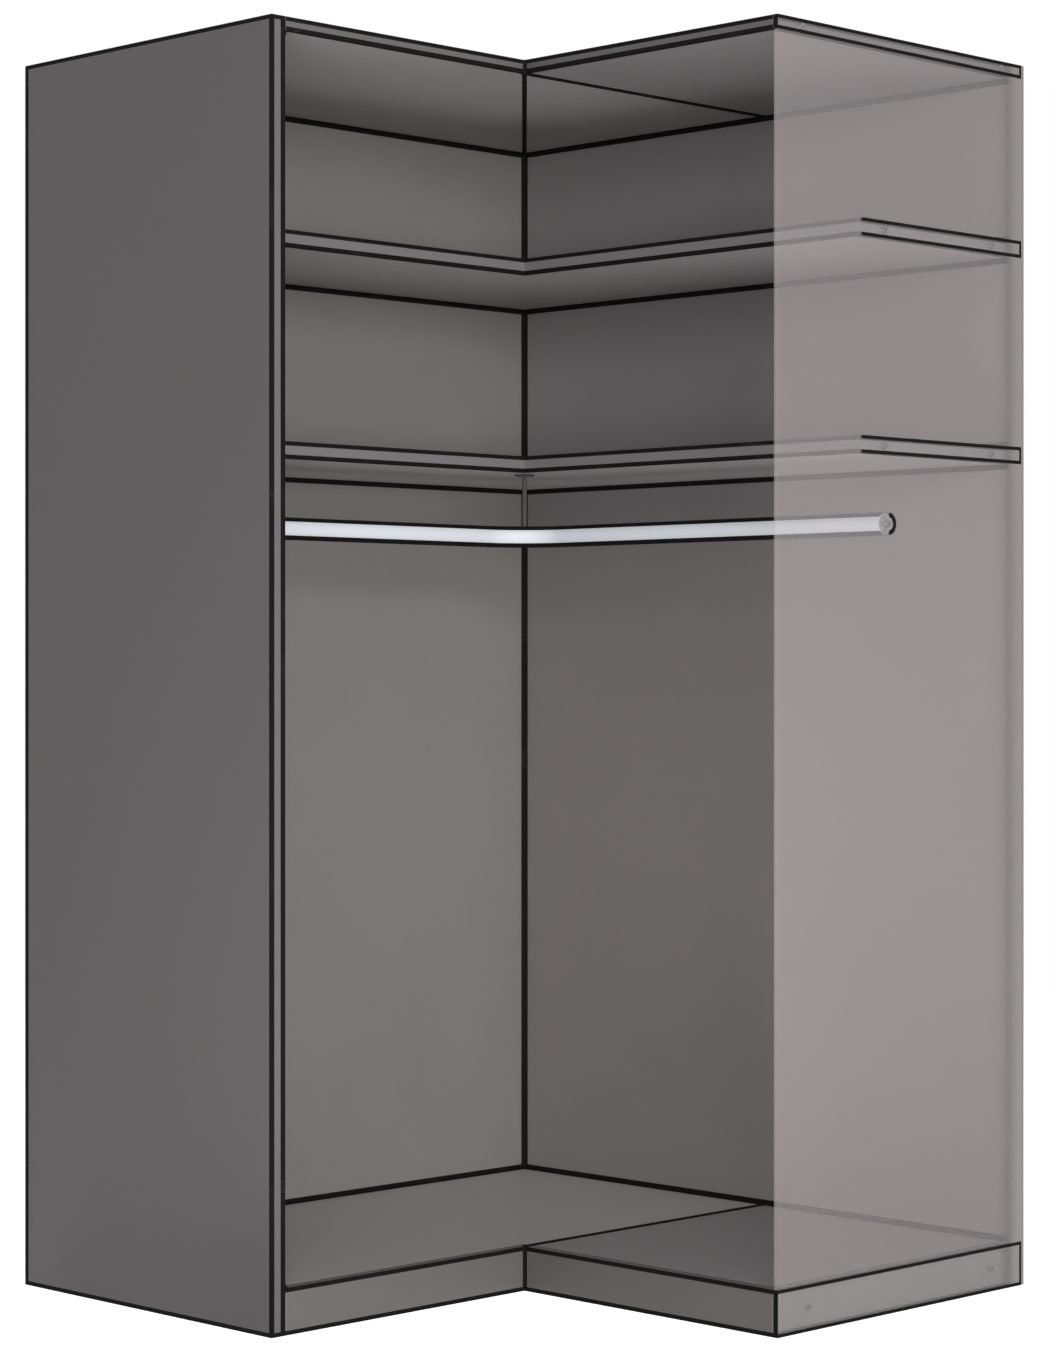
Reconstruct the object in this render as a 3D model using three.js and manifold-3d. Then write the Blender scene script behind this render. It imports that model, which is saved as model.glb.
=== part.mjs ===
// Open L-shaped corner wardrobe: two wings, two fixed one-piece shelves and a bent hanging rail.
// Millimetres, +Z up. The left wing opens towards -Y and the right wing opens towards -X.
// Pieces are drawn with x = 0 at the left side's outer face and y = 0 at the right side's outer
// face, and the last group moves the middle of the footprint to the origin.

import * as THREE from "three";
import { mergeVertices } from "three/addons/utils/BufferGeometryUtils.js";
import Module from "manifold-3d";

const wasm = await Module();
wasm.setup();

// Driving dimensions of the carcass
const carcassHeight = 2000;
const openingWidth = 540; // from a side's outer face to the inner corner
const wingDepth = 620; // from an opening to the rear plane
const sideThickness = 28;
const sheetThickness = 8;
const topThickness = 22;
const backThickness = 16;
const backRecess = 8; // between the back panels and the rear plane
const plinthHeight = 72;
const plinthThickness = 16;
const floorThickness = 16;
const baseRailThickness = 16;
const jointGap = 0.3; // left between two pieces that meet
const arris = 1.2; // eased edge of a board

// Driving dimensions of the shelves and the hanging rail
const topCompartmentHeight = 266;
const middleCompartmentHeight = 310;
const shelfThickness = 28;
const shelfSetBack = 200; // behind the openings
const railDrop = 108; // of the rail's axis below the lower shelf
const railBehindShelf = 68; // from the shelf's front edge to the rail's axis
const railDiameter = 35;
const railWall = 1.5;
const railBendRadius = 100;

// Rail fittings
const plugLength = 30;
const plugNose = 1.5; // chamfer that leads the plug into the tube
const plugStudDiameter = 8;
const plugStudLength = 14;
const plugEndThickness = 6; // solid end of the bored plug
const hangerRodDiameter = 8;
const hangerFlangeDiameter = 34;
const hangerFlangeThickness = 3;
const hangerStudDiameter = 6;
const hangerStudLength = 16;
const hangerNutDiameter = 14;
const hangerNutHeight = 6;

// Screws: head and shank diameters, head depth, length
const backScrewHead = 10;
const backScrewHeadDepth = 4;
const backScrewShank = 7;
const backScrewLength = 50;
const sheetScrewHead = 11;
const sheetScrewHeadDepth = 3;
const sheetScrewShank = 6;
const boardEndScrewLength = 40;
const screwTipMargin = 2.3; // between a screw's tip and the end of the piece that it grips
const sheetScrewInset = 60; // from a board's front or rear edge
const drillClearance = 0.3; // around every fitting

// Connectors between the left side and the top, and dowels in the top's seam
const camDiameter = 15;
const camDepth = 15.5;
const camReach = 24; // from the board's end to the cam's axis
const camBoltDiameter = 6;
const camBoltNeck = 3.6;
const camBoltNeckLength = 4;
const camBoltHead = 7;
const camBoltHeadLength = 2.5;
const camBoltGrip = 11; // length screwed into the side
const camInset = 70; // from the front and rear edges
const dowelDiameter = 8;
const dowelLength = 40;
const dowelNose = 0.8;
const dowelInset = 120; // from the ends of the seam

// Shelf pins in the left side
const pinDiameter = 7;
const pinSeatDepth = 12;
const pinLugLength = 14;
const pinLugWidth = 12;
const pinInset = 60; // from the shelf's front and rear edges

// Levelling feet under the floor boards
const footInset = 36; // from the nearest plinth or base rail
const footPadDiameter = 36;
const footPadThickness = 5;
const footPadArris = 1;
const footRise = 1; // the pads are wound in this far above the floor
const footStemDiameter = 10;
const stemHeadroom = 13.7; // between the stem's top and the housing's top when wound in
const stemClearance = 0.4;
const housingDiameter = 34;
const housingClearHeight = 16; // between the floor and the housing
const housingFlangeDiameter = 56;
const housingFlangeThickness = 5;
const housingSpigotDiameter = 24;
const housingSpigotHeight = 8;

// Steel angle behind the rear corner, and plates that hook the backs to the walls
const angleLeg = 25;
const angleThickness = 2;
const angleEndInset = 60;
const wallPlateWidth = 70;
const wallPlateHeight = 50;
const wallPlateThickness = 2.5;
const wallPlateDrop = 60; // from the top board's underside
const keyholeWide = 16;
const keyholeNarrow = 8;
const keyholeRise = 16; // between the centres of the wide and the narrow end
const wallPocketMargin = 2; // around the keyhole, for the wall screw's head
const wallPocketDepth = 7;

// Sides of turned pieces, steps of the rail's bend, and the overrun of every cut
const roundSides = 20;
const screwSides = 12;
const bendSteps = 8;
const cutOverrun = 2;
const quarterTurn = Math.PI / 2;

// Places that several pieces share
const legLength = openingWidth + wingDepth;
const ceiling = carcassHeight - topThickness;
const backOuter = legLength - backRecess;
const backInner = backOuter - backThickness;
const rearLimit = backInner - jointGap;
const sideFace = sideThickness + jointGap;
const sheetFace = sheetThickness + jointGap;
const plinthInner = openingWidth + plinthThickness;
const floorFront = plinthInner + jointGap;
const floorUnderside = plinthHeight - floorThickness;
const baseRailTop = floorUnderside - jointGap;
const upperShelfUnderside = ceiling - topCompartmentHeight - shelfThickness;
const lowerShelfUnderside = upperShelfUnderside - middleCompartmentHeight - shelfThickness;
const shelfFront = openingWidth + shelfSetBack;
const railLine = shelfFront + railBehindShelf;
const railAxisHeight = lowerShelfUnderside - railDrop;
const railInnerRadius = railDiameter / 2 - railWall;
const hangerNutSeat = Math.sqrt(railInnerRadius ** 2 - (hangerNutDiameter / 2) ** 2);
const hangerNutTop = railAxisHeight + hangerNutSeat - drillClearance;
const cornerMiddle = (openingWidth + backInner) / 2;
const topMiddle = ceiling + topThickness / 2;
const plinthMiddle = plinthHeight / 2;
const plinthScrewLength = sheetFace + plinthThickness - screwTipMargin;
const plugBoreDepth = plugLength - plugEndThickness;
const railScrewLength = sheetFace + plugBoreDepth - screwTipMargin;
const footStemTop = baseRailTop + housingSpigotHeight - stemHeadroom;

const alongX = new THREE.Vector3(1, 0, 0);
const alongY = new THREE.Vector3(0, 1, 0);
const upward = new THREE.Vector3(0, 0, 1);
const towardFront = alongY.clone().negate();
const towardLeft = alongX.clone().negate();
const downward = upward.clone().negate();

// Finishes, one material for each piece

const greyBoard = () => new THREE.MeshStandardMaterial({ color: 0x757170, roughness: 0.55, metalness: 0 });
const greyBack = () => new THREE.MeshStandardMaterial({ color: 0x73706e, roughness: 0.6, metalness: 0 });
const rawBoard = () => new THREE.MeshStandardMaterial({ color: 0xb39b78, roughness: 0.85, metalness: 0 });
const beech = () => new THREE.MeshStandardMaterial({ color: 0xc9a77c, roughness: 0.7, metalness: 0 });
const blackPlastic = () => new THREE.MeshStandardMaterial({ color: 0x2b2b2c, roughness: 0.6, metalness: 0 });
const zincSteel = () => new THREE.MeshStandardMaterial({ color: 0xa4a6a8, roughness: 0.4, metalness: 1 });
const coatedSteel = () => new THREE.MeshStandardMaterial({ color: 0x8e8789, roughness: 0.5, metalness: 0 });
const paintedSteel = () => new THREE.MeshStandardMaterial({ color: 0x383637, roughness: 0.75, metalness: 0 });
const satinAluminium = () => new THREE.MeshStandardMaterial({ color: 0xcdd0d6, roughness: 0.42, metalness: 1 });

function greySheet() {
  return new THREE.MeshStandardMaterial({
    color: 0xc0b8ba,
    roughness: 0.3,
    metalness: 0,
    transparent: true,
    opacity: 0.3,
  });
}

// Solids for cutting and joining

function solidOf(geometry) {
  const bare = geometry.clone();
  bare.deleteAttribute("normal");
  bare.deleteAttribute("uv");
  const merged = mergeVertices(bare);
  return new wasm.Manifold(
    new wasm.Mesh({
      numProp: 3,
      vertProperties: merged.attributes.position.array,
      triVerts: new Uint32Array(merged.index.array),
    }),
  );
}

function geometryOf(solid) {
  const { vertProperties, triVerts } = solid.getMesh();
  const indexed = new THREE.BufferGeometry();
  indexed.setAttribute("position", new THREE.BufferAttribute(vertProperties, 3));
  indexed.setIndex(new THREE.BufferAttribute(triVerts, 1));
  const faceted = indexed.toNonIndexed();
  faceted.computeVertexNormals();
  return faceted;
}

// Takes cutters, given in the carcass's coordinates, out of a placed piece.
function cutAway(piece, cutters) {
  piece.updateMatrix();
  const intoPiece = piece.matrix.clone().invert();
  let body = solidOf(piece.geometry);
  for (const cutter of cutters) {
    body = body.subtract(solidOf(cutter.clone().applyMatrix4(intoPiece)));
  }
  piece.geometry = geometryOf(body);
}

// Boards

function rectangle(left, low, right, high) {
  return [
    [left, low],
    [right, low],
    [right, high],
    [left, high],
  ];
}

// An outline extruded by a board's thickness, with its edges eased.
function boardBody(outline, thickness) {
  const body = new THREE.ExtrudeGeometry(new THREE.Shape(outline.map(([u, v]) => new THREE.Vector2(u, v))), {
    depth: thickness - 2 * arris,
    bevelThickness: arris,
    bevelSize: arris,
    bevelOffset: -arris,
    bevelSegments: 1,
  });
  return body.translate(0, 0, arris);
}

// A lying board, with its outline in x and y.
function lyingBoard(name, outline, bottom, thickness, material) {
  const board = new THREE.Mesh(boardBody(outline, thickness), material);
  board.name = name;
  board.position.z = bottom;
  return board;
}

// A standing board that faces front, with its outline in x and z.
function boardFacingFront(name, outline, front, thickness, material) {
  const board = new THREE.Mesh(boardBody(outline, thickness), material);
  board.name = name;
  board.rotation.x = quarterTurn;
  board.position.y = front + thickness;
  return board;
}

// A standing board that faces left, with its outline in y and z.
function boardFacingLeft(name, outline, left, thickness, material) {
  const board = new THREE.Mesh(boardBody(outline, thickness), material);
  board.name = name;
  board.rotation.set(quarterTurn, 0, quarterTurn, "ZXY");
  board.position.x = left;
  return board;
}

// Turned fittings: a profile of radius and reach, spun about an axis from a start in a direction

function spun(profile, sides) {
  return new THREE.LatheGeometry(profile.map(([radius, reach]) => new THREE.Vector2(radius, reach)), sides);
}

function place(object, start, direction) {
  object.position.copy(start);
  object.quaternion.setFromUnitVectors(alongY, direction);
  return object;
}

function turnedPiece(fitting) {
  const piece = new THREE.Mesh(spun(fitting.profile, fitting.sides), fitting.material);
  piece.name = fitting.name;
  return place(piece, fitting.start, fitting.direction);
}

// The hole that a fitting needs, as a cutter in the carcass's coordinates.
function holeFor(fitting) {
  const holder = place(new THREE.Object3D(), fitting.start, fitting.direction);
  holder.updateMatrix();
  return spun(fitting.hole, fitting.sides).applyMatrix4(holder.matrix);
}

function at(x, y, z) {
  return new THREE.Vector3(x, y, z);
}

// A screw with a countersunk head, flush with the face that it enters.
function countersunkScrew(name, head, headDepth, shank, length, start, direction, material) {
  const headRadius = head / 2;
  const shankRadius = shank / 2;
  const wideHead = headRadius + drillClearance;
  const wideShank = shankRadius + drillClearance;
  const holeEnd = length + drillClearance;
  return {
    name,
    start,
    direction,
    material,
    sides: screwSides,
    profile: [
      [0, 0],
      [headRadius, 0],
      [shankRadius, headDepth],
      [shankRadius, length],
      [0, length],
    ],
    hole: [
      [0, -cutOverrun],
      [wideHead, -cutOverrun],
      [wideHead, 0],
      [wideShank, headDepth],
      [wideShank, holeEnd],
      [0, holeEnd],
    ],
  };
}

// Screws that hold each shelf to the back panels, driven from behind.
function shelfScrews(level, underside) {
  const middle = underside + shelfThickness / 2;
  const screw = (wing, start, direction) =>
    countersunkScrew(
      `${level}_shelf_screw_${wing}`,
      backScrewHead,
      backScrewHeadDepth,
      backScrewShank,
      backScrewLength,
      start,
      direction,
      zincSteel(),
    );
  return {
    left: screw("left", at(cornerMiddle, backOuter, middle), towardFront),
    right: screw("right", at(backOuter, cornerMiddle, middle), towardLeft),
  };
}

// Screws through the right sheet, near the front and the rear of the board end behind it.
function sheetScrews(target, front, rear, height, length) {
  const places = [
    ["front", front + sheetScrewInset],
    ["rear", rear - sheetScrewInset],
  ];
  return places.map(([where, x]) =>
    countersunkScrew(
      `sheet_screw_${target}_${where}`,
      sheetScrewHead,
      sheetScrewHeadDepth,
      sheetScrewShank,
      length,
      at(x, 0, height),
      alongY,
      coatedSteel(),
    ),
  );
}

// Dowels across the seam of the two top boards.
function seamDowels() {
  const radius = dowelDiameter / 2;
  const wide = radius + drillClearance;
  const start = openingWidth - jointGap / 2 - dowelLength / 2;
  const places = [
    ["front", openingWidth + dowelInset],
    ["rear", legLength - dowelInset],
  ];
  return places.map(([where, x]) => ({
    name: `top_seam_dowel_${where}`,
    start: at(x, start, topMiddle),
    direction: alongY,
    material: beech(),
    sides: screwSides,
    profile: [
      [0, 0],
      [radius - dowelNose, 0],
      [radius, dowelNose],
      [radius, dowelLength - dowelNose],
      [radius - dowelNose, dowelLength],
      [0, dowelLength],
    ],
    hole: [
      [0, -drillClearance],
      [wide, -drillClearance],
      [wide, dowelLength + drillClearance],
      [0, dowelLength + drillClearance],
    ],
  }));
}

// Bolts that stand out of the left side into the cams of the top board.
function camBolts() {
  const shank = camBoltDiameter / 2;
  const head = camBoltHead / 2;
  const wide = head + drillClearance;
  const length = camBoltGrip + jointGap + camReach + camBoltHeadLength;
  const headStart = length - camBoltHeadLength;
  const neckStart = headStart - camBoltNeckLength;
  const start = sideThickness - camBoltGrip;
  const places = [
    ["front", openingWidth + camInset],
    ["rear", legLength - camInset],
  ];
  return places.map(([where, y]) => ({
    name: `top_cam_bolt_${where}`,
    start: at(start, y, topMiddle),
    direction: alongX,
    material: zincSteel(),
    sides: screwSides,
    profile: [
      [0, 0],
      [shank, 0],
      [shank, neckStart],
      [camBoltNeck / 2, neckStart],
      [camBoltNeck / 2, headStart],
      [head, headStart],
      [head, length],
      [0, length],
    ],
    hole: [
      [0, -drillClearance],
      [wide, -drillClearance],
      [wide, length + drillClearance],
      [0, length + drillClearance],
    ],
  }));
}

// Cams let into the top board's underside, one around the head of each bolt.
function topCams(bolts) {
  const radius = camDiameter / 2;
  return bolts.map((bolt) => ({
    name: bolt.name.replace("bolt", "lock"),
    start: at(sideFace + camReach, bolt.start.y, ceiling),
    direction: upward,
    material: zincSteel(),
    sides: roundSides,
    profile: [
      [0, 0],
      [radius, 0],
      [radius, camDepth],
      [0, camDepth],
    ],
    hole: [
      [0, -cutOverrun],
      [radius + drillClearance, -cutOverrun],
      [radius + drillClearance, camDepth + drillClearance],
      [0, camDepth + drillClearance],
    ],
  }));
}

// Rail fittings

// The plug that is screwed into the left side and carries the rail's left end.
function leftRailPlug() {
  const stud = plugStudDiameter / 2;
  const plug = railInnerRadius - drillClearance;
  const length = plugStudLength + plugLength;
  return {
    name: "rail_plug_left",
    start: at(sideFace - plugStudLength, railLine, railAxisHeight),
    direction: alongX,
    material: zincSteel(),
    sides: roundSides,
    profile: [
      [0, 0],
      [stud, 0],
      [stud, plugStudLength],
      [plug, plugStudLength],
      [plug, length - plugNose],
      [plug - plugNose, length],
      [0, length],
    ],
    hole: [
      [0, -drillClearance],
      [stud + drillClearance, -drillClearance],
      [stud + drillClearance, plugStudLength],
      [0, plugStudLength],
    ],
  };
}

// The plug behind the right sheet, bored for the screw that comes through the sheet.
function rightRailPlug() {
  const plug = railInnerRadius - drillClearance;
  const bore = sheetScrewShank / 2 + drillClearance;
  return {
    name: "rail_plug_right",
    start: at(railLine, sheetFace, railAxisHeight),
    direction: alongY,
    material: zincSteel(),
    sides: roundSides,
    profile: [
      [0, plugBoreDepth],
      [bore, plugBoreDepth],
      [bore, 0],
      [plug, 0],
      [plug, plugLength - plugNose],
      [plug - plugNose, plugLength],
      [0, plugLength],
    ],
  };
}

function railScrew() {
  return countersunkScrew(
    "rail_screw_right",
    sheetScrewHead,
    sheetScrewHeadDepth,
    sheetScrewShank,
    railScrewLength,
    at(railLine, 0, railAxisHeight),
    alongY,
    coatedSteel(),
  );
}

// The middle of the rail's bend, on the diagonal of the two wings.
function bendMiddle() {
  const turnCentre = railLine - railBendRadius;
  return turnCentre + railBendRadius * Math.SQRT1_2;
}

// The rod that hangs the rail's bend from the lower shelf.
function railHanger() {
  const stud = hangerStudDiameter / 2;
  const rod = hangerRodDiameter / 2;
  const flange = hangerFlangeDiameter / 2;
  const flangeTop = hangerStudLength + jointGap;
  const flangeBottom = flangeTop + hangerFlangeThickness;
  const top = lowerShelfUnderside + hangerStudLength;
  const length = top - (hangerNutTop - hangerNutHeight);
  return {
    name: "rail_hanger",
    start: at(bendMiddle(), bendMiddle(), top),
    direction: downward,
    material: paintedSteel(),
    sides: roundSides,
    profile: [
      [0, 0],
      [stud, 0],
      [stud, flangeTop],
      [flange, flangeTop],
      [flange, flangeBottom],
      [rod, flangeBottom],
      [rod, length],
      [0, length],
    ],
    hole: [
      [0, -drillClearance],
      [stud + drillClearance, -drillClearance],
      [stud + drillClearance, hangerStudLength + cutOverrun],
      [0, hangerStudLength + cutOverrun],
    ],
    railHole: [
      [0, flangeBottom],
      [rod + drillClearance, flangeBottom],
      [rod + drillClearance, length],
      [0, length],
    ],
  };
}

// The round nut on the rod's end, inside the rail, under the tube's wall.
function railHangerNut() {
  const bore = hangerRodDiameter / 2 + drillClearance;
  const rim = hangerNutDiameter / 2;
  return {
    name: "rail_hanger_nut",
    start: at(bendMiddle(), bendMiddle(), hangerNutTop - hangerNutHeight),
    direction: upward,
    material: zincSteel(),
    sides: screwSides,
    profile: [
      [bore, 0],
      [rim, 0],
      [rim, hangerNutHeight],
      [bore, hangerNutHeight],
      [bore, 0],
    ],
  };
}

// Places along the rail's axis, each with the direction across the rail in plan.
function railStations() {
  const turnCentre = railLine - railBendRadius;
  const stations = [{ x: sideFace, y: railLine, acrossX: 0, acrossY: 1 }];
  for (let step = 0; step <= bendSteps; step += 1) {
    const angle = quarterTurn * (1 - step / bendSteps);
    const acrossX = Math.cos(angle);
    const acrossY = Math.sin(angle);
    stations.push({
      x: turnCentre + railBendRadius * acrossX,
      y: turnCentre + railBendRadius * acrossY,
      acrossX,
      acrossY,
    });
  }
  stations.push({ x: railLine, y: sheetFace, acrossX: 1, acrossY: 0 });
  return stations;
}

// A ring extruded by one step for each stretch of rail, whose steps are then set at their stations.
function hangingRail(hanger) {
  const ring = new THREE.Shape().absarc(0, 0, railDiameter / 2, 0, 2 * Math.PI);
  ring.holes.push(new THREE.Path().absarc(0, 0, railInnerRadius, 0, 2 * Math.PI, true));
  const stations = railStations();
  const stretches = stations.length - 1;
  const tube = new THREE.ExtrudeGeometry(ring, {
    depth: stretches,
    steps: stretches,
    curveSegments: screwSides,
    bevelEnabled: false,
  });
  const points = tube.attributes.position;
  for (let index = 0; index < points.count; index += 1) {
    const station = stations[Math.round(points.getZ(index))];
    const across = points.getX(index);
    const up = points.getY(index);
    points.setXYZ(index, station.x + across * station.acrossX, station.y + across * station.acrossY, up);
  }
  const rail = new THREE.Mesh(tube, satinAluminium());
  rail.name = "hanging_rail";
  rail.position.z = railAxisHeight;
  cutAway(rail, [holeFor({ ...hanger, hole: hanger.railHole })]);
  return rail;
}

// Shelf pins in the left side: a round stud with a square lug under the shelf

function pinPlaces() {
  const reaches = [
    ["front", shelfFront + pinInset],
    ["rear", rearLimit - pinInset],
  ];
  const levels = [
    ["upper", upperShelfUnderside],
    ["lower", lowerShelfUnderside],
  ];
  return levels.flatMap(([level, underside]) =>
    reaches.map(([where, y]) => ({
      name: `${level}_shelf_pin_${where}`,
      y,
      z: underside - jointGap - pinDiameter / 2,
    })),
  );
}

function pinHole(pinPlace) {
  const start = sideThickness - pinSeatDepth - drillClearance;
  const hole = new THREE.CylinderGeometry(
    pinDiameter / 2 + drillClearance,
    pinDiameter / 2 + drillClearance,
    pinSeatDepth + cutOverrun,
    screwSides,
  );
  hole.rotateZ(quarterTurn);
  return hole.translate(start + (pinSeatDepth + cutOverrun) / 2, pinPlace.y, pinPlace.z);
}

function shelfPin(pinPlace) {
  const studLength = pinSeatDepth + jointGap + pinLugLength / 2;
  const stud = new THREE.CylinderGeometry(pinDiameter / 2, pinDiameter / 2, studLength, screwSides);
  stud.rotateZ(quarterTurn);
  stud.translate(studLength / 2 - pinSeatDepth, 0, 0);
  const lug = new THREE.BoxGeometry(pinLugLength, pinLugWidth, pinDiameter);
  lug.translate(jointGap + pinLugLength / 2, 0, 0);
  const pin = new THREE.Mesh(geometryOf(solidOf(stud).add(solidOf(lug))), zincSteel());
  pin.name = pinPlace.name;
  pin.position.set(sideThickness, pinPlace.y, pinPlace.z);
  return pin;
}

// Levelling feet

function footPlaces() {
  const left = sideFace + baseRailThickness + footInset;
  const front = plinthInner + footInset;
  const back = rearLimit - baseRailThickness - footInset;
  const right = sheetFace + plinthThickness + footInset;
  return [
    ["left_front", left, front],
    ["left_rear", left, back],
    ["inner_corner", front, front],
    ["rear_corner", back, back],
    ["right_front", front, right],
    ["right_rear", back, right],
  ];
}

// The housing that is let into the floor board's underside by its spigot.
function footHousing([where, x, y]) {
  const bore = footStemDiameter / 2 + stemClearance;
  const body = housingDiameter / 2;
  const flange = housingFlangeDiameter / 2;
  const spigot = housingSpigotDiameter / 2;
  const height = baseRailTop - housingClearHeight;
  const topHeight = height + housingSpigotHeight;
  return {
    name: `foot_housing_${where}`,
    start: at(x, y, housingClearHeight),
    direction: upward,
    material: blackPlastic(),
    sides: roundSides,
    profile: [
      [bore, 0],
      [body, 0],
      [body, height - housingFlangeThickness],
      [flange, height - housingFlangeThickness],
      [flange, height],
      [spigot, height],
      [spigot, topHeight],
      [bore, topHeight],
      [bore, 0],
    ],
    hole: [
      [0, height - cutOverrun],
      [spigot + drillClearance, height - cutOverrun],
      [spigot + drillClearance, topHeight + drillClearance],
      [0, topHeight + drillClearance],
    ],
  };
}

// The foot itself: a pad on a stem that is wound down through its housing.
function levellingFoot([where, x, y]) {
  const pad = footPadDiameter / 2;
  const stem = footStemDiameter / 2;
  return {
    name: `levelling_foot_${where}`,
    start: at(x, y, footRise),
    direction: upward,
    material: zincSteel(),
    sides: roundSides,
    profile: [
      [0, 0],
      [pad - footPadArris, 0],
      [pad, footPadArris],
      [pad, footPadThickness],
      [stem, footPadThickness],
      [stem, footStemTop - footRise],
      [0, footStemTop - footRise],
    ],
  };
}

// Carcass boards

function leftSidePanel(fittings) {
  const outline = rectangle(openingWidth, 0, legLength, carcassHeight);
  const panel = boardFacingLeft("left_side_panel", outline, 0, sideThickness, greyBoard());
  cutAway(panel, [...fittings.camBolts.map(holeFor), ...pinPlaces().map(pinHole), holeFor(fittings.leftPlug)]);
  return panel;
}

function rightSideSheet(fittings) {
  const outline = rectangle(openingWidth, 0, legLength, carcassHeight);
  const sheet = boardFacingFront("right_side_sheet", outline, 0, sheetThickness, greySheet());
  cutAway(sheet, [...fittings.sheetScrews.map(holeFor), holeFor(fittings.railScrew)]);
  return sheet;
}

function topBoards(fittings) {
  const left = lyingBoard(
    "top_board_left",
    rectangle(sideFace, openingWidth, legLength, legLength),
    ceiling,
    topThickness,
    greyBoard(),
  );
  const right = lyingBoard(
    "top_board_right",
    rectangle(openingWidth, sheetFace, legLength, openingWidth - jointGap),
    ceiling,
    topThickness,
    greyBoard(),
  );
  const dowelHoles = fittings.seamDowels.map(holeFor);
  cutAway(left, [...dowelHoles, ...fittings.topCams.map(holeFor), ...fittings.camBolts.map(holeFor)]);
  cutAway(right, [...dowelHoles, ...fittings.topScrews.map(holeFor)]);
  return [left, right];
}

function backPanels(fittings) {
  const top = ceiling - jointGap;
  const left = boardFacingFront(
    "back_panel_left",
    rectangle(sideFace, 0, rearLimit, top),
    backInner,
    backThickness,
    greyBack(),
  );
  const right = boardFacingLeft(
    "back_panel_right",
    rectangle(sheetFace, 0, backOuter, top),
    backInner,
    backThickness,
    greyBack(),
  );
  const { upperScrews, lowerScrews } = fittings;
  cutAway(left, [holeFor(upperScrews.left), holeFor(lowerScrews.left), wallPocket("left")]);
  cutAway(right, [holeFor(upperScrews.right), holeFor(lowerScrews.right), wallPocket("right")]);
  return [left, right];
}

function plinths(fittings) {
  const front = boardFacingFront(
    "plinth_left",
    rectangle(sideFace, 0, plinthInner, plinthHeight),
    openingWidth,
    plinthThickness,
    greyBoard(),
  );
  const side = boardFacingLeft(
    "plinth_right",
    rectangle(sheetFace, 0, openingWidth - jointGap, plinthHeight),
    openingWidth,
    plinthThickness,
    greyBoard(),
  );
  const end = boardFacingFront(
    "plinth_end_right",
    rectangle(floorFront, 0, rearLimit, plinthHeight),
    sheetFace,
    plinthThickness,
    greyBoard(),
  );
  cutAway(end, fittings.plinthScrews.map(holeFor));
  return [front, side, end];
}

function floorBoards(fittings) {
  const left = lyingBoard(
    "floor_board_left",
    [
      [sideFace, floorFront],
      [floorFront, floorFront],
      [floorFront, openingWidth],
      [rearLimit, openingWidth],
      [rearLimit, rearLimit],
      [sideFace, rearLimit],
    ],
    floorUnderside,
    floorThickness,
    greyBoard(),
  );
  const right = lyingBoard(
    "floor_board_right",
    rectangle(floorFront, sheetFace + plinthThickness + jointGap, rearLimit, openingWidth - jointGap),
    floorUnderside,
    floorThickness,
    greyBoard(),
  );
  const spigotHoles = fittings.footHousings.map(holeFor);
  cutAway(left, spigotHoles);
  cutAway(right, spigotHoles);
  return [left, right];
}

// Rails on edge that carry the floor boards where no plinth does.
function baseRails() {
  const sideRailFace = sideFace + baseRailThickness + jointGap;
  const backRailFace = rearLimit - baseRailThickness;
  const backRailLimit = backRailFace - jointGap;
  const rightStart = sheetFace + plinthThickness + jointGap;
  return [
    boardFacingLeft(
      "base_rail_left",
      rectangle(floorFront, 0, rearLimit, baseRailTop),
      sideFace,
      baseRailThickness,
      rawBoard(),
    ),
    boardFacingFront(
      "base_rail_back_left",
      rectangle(sideRailFace, 0, rearLimit, baseRailTop),
      backRailFace,
      baseRailThickness,
      rawBoard(),
    ),
    boardFacingLeft(
      "base_rail_back_right",
      rectangle(rightStart, 0, backRailLimit, baseRailTop),
      backRailFace,
      baseRailThickness,
      rawBoard(),
    ),
    boardFacingFront(
      "base_rail_seam",
      rectangle(floorFront, 0, backRailLimit, baseRailTop),
      openingWidth - baseRailThickness / 2,
      baseRailThickness,
      rawBoard(),
    ),
  ];
}

// A one-piece L-shaped shelf.
function shelf(name, underside, screws, otherHoles) {
  const board = lyingBoard(
    name,
    [
      [sideFace, shelfFront],
      [shelfFront, shelfFront],
      [shelfFront, sheetFace],
      [rearLimit, sheetFace],
      [rearLimit, rearLimit],
      [sideFace, rearLimit],
    ],
    underside,
    shelfThickness,
    greyBoard(),
  );
  cutAway(board, [holeFor(screws.left), holeFor(screws.right), ...otherHoles]);
  return board;
}

// Steel behind the back panels

function rearCornerAngle() {
  const inner = backOuter + jointGap;
  const outer = inner + angleThickness;
  const start = outer - angleLeg;
  const outline = [
    [start, inner],
    [inner, inner],
    [inner, start],
    [outer, start],
    [outer, outer],
    [start, outer],
  ];
  const profile = new THREE.Shape(outline.map(([x, y]) => new THREE.Vector2(x, y)));
  const height = ceiling - 2 * angleEndInset;
  const angle = new THREE.Mesh(
    new THREE.ExtrudeGeometry(profile, { depth: height, bevelEnabled: false }),
    zincSteel(),
  );
  angle.name = "rear_corner_angle";
  angle.position.z = angleEndInset;
  return angle;
}

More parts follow.
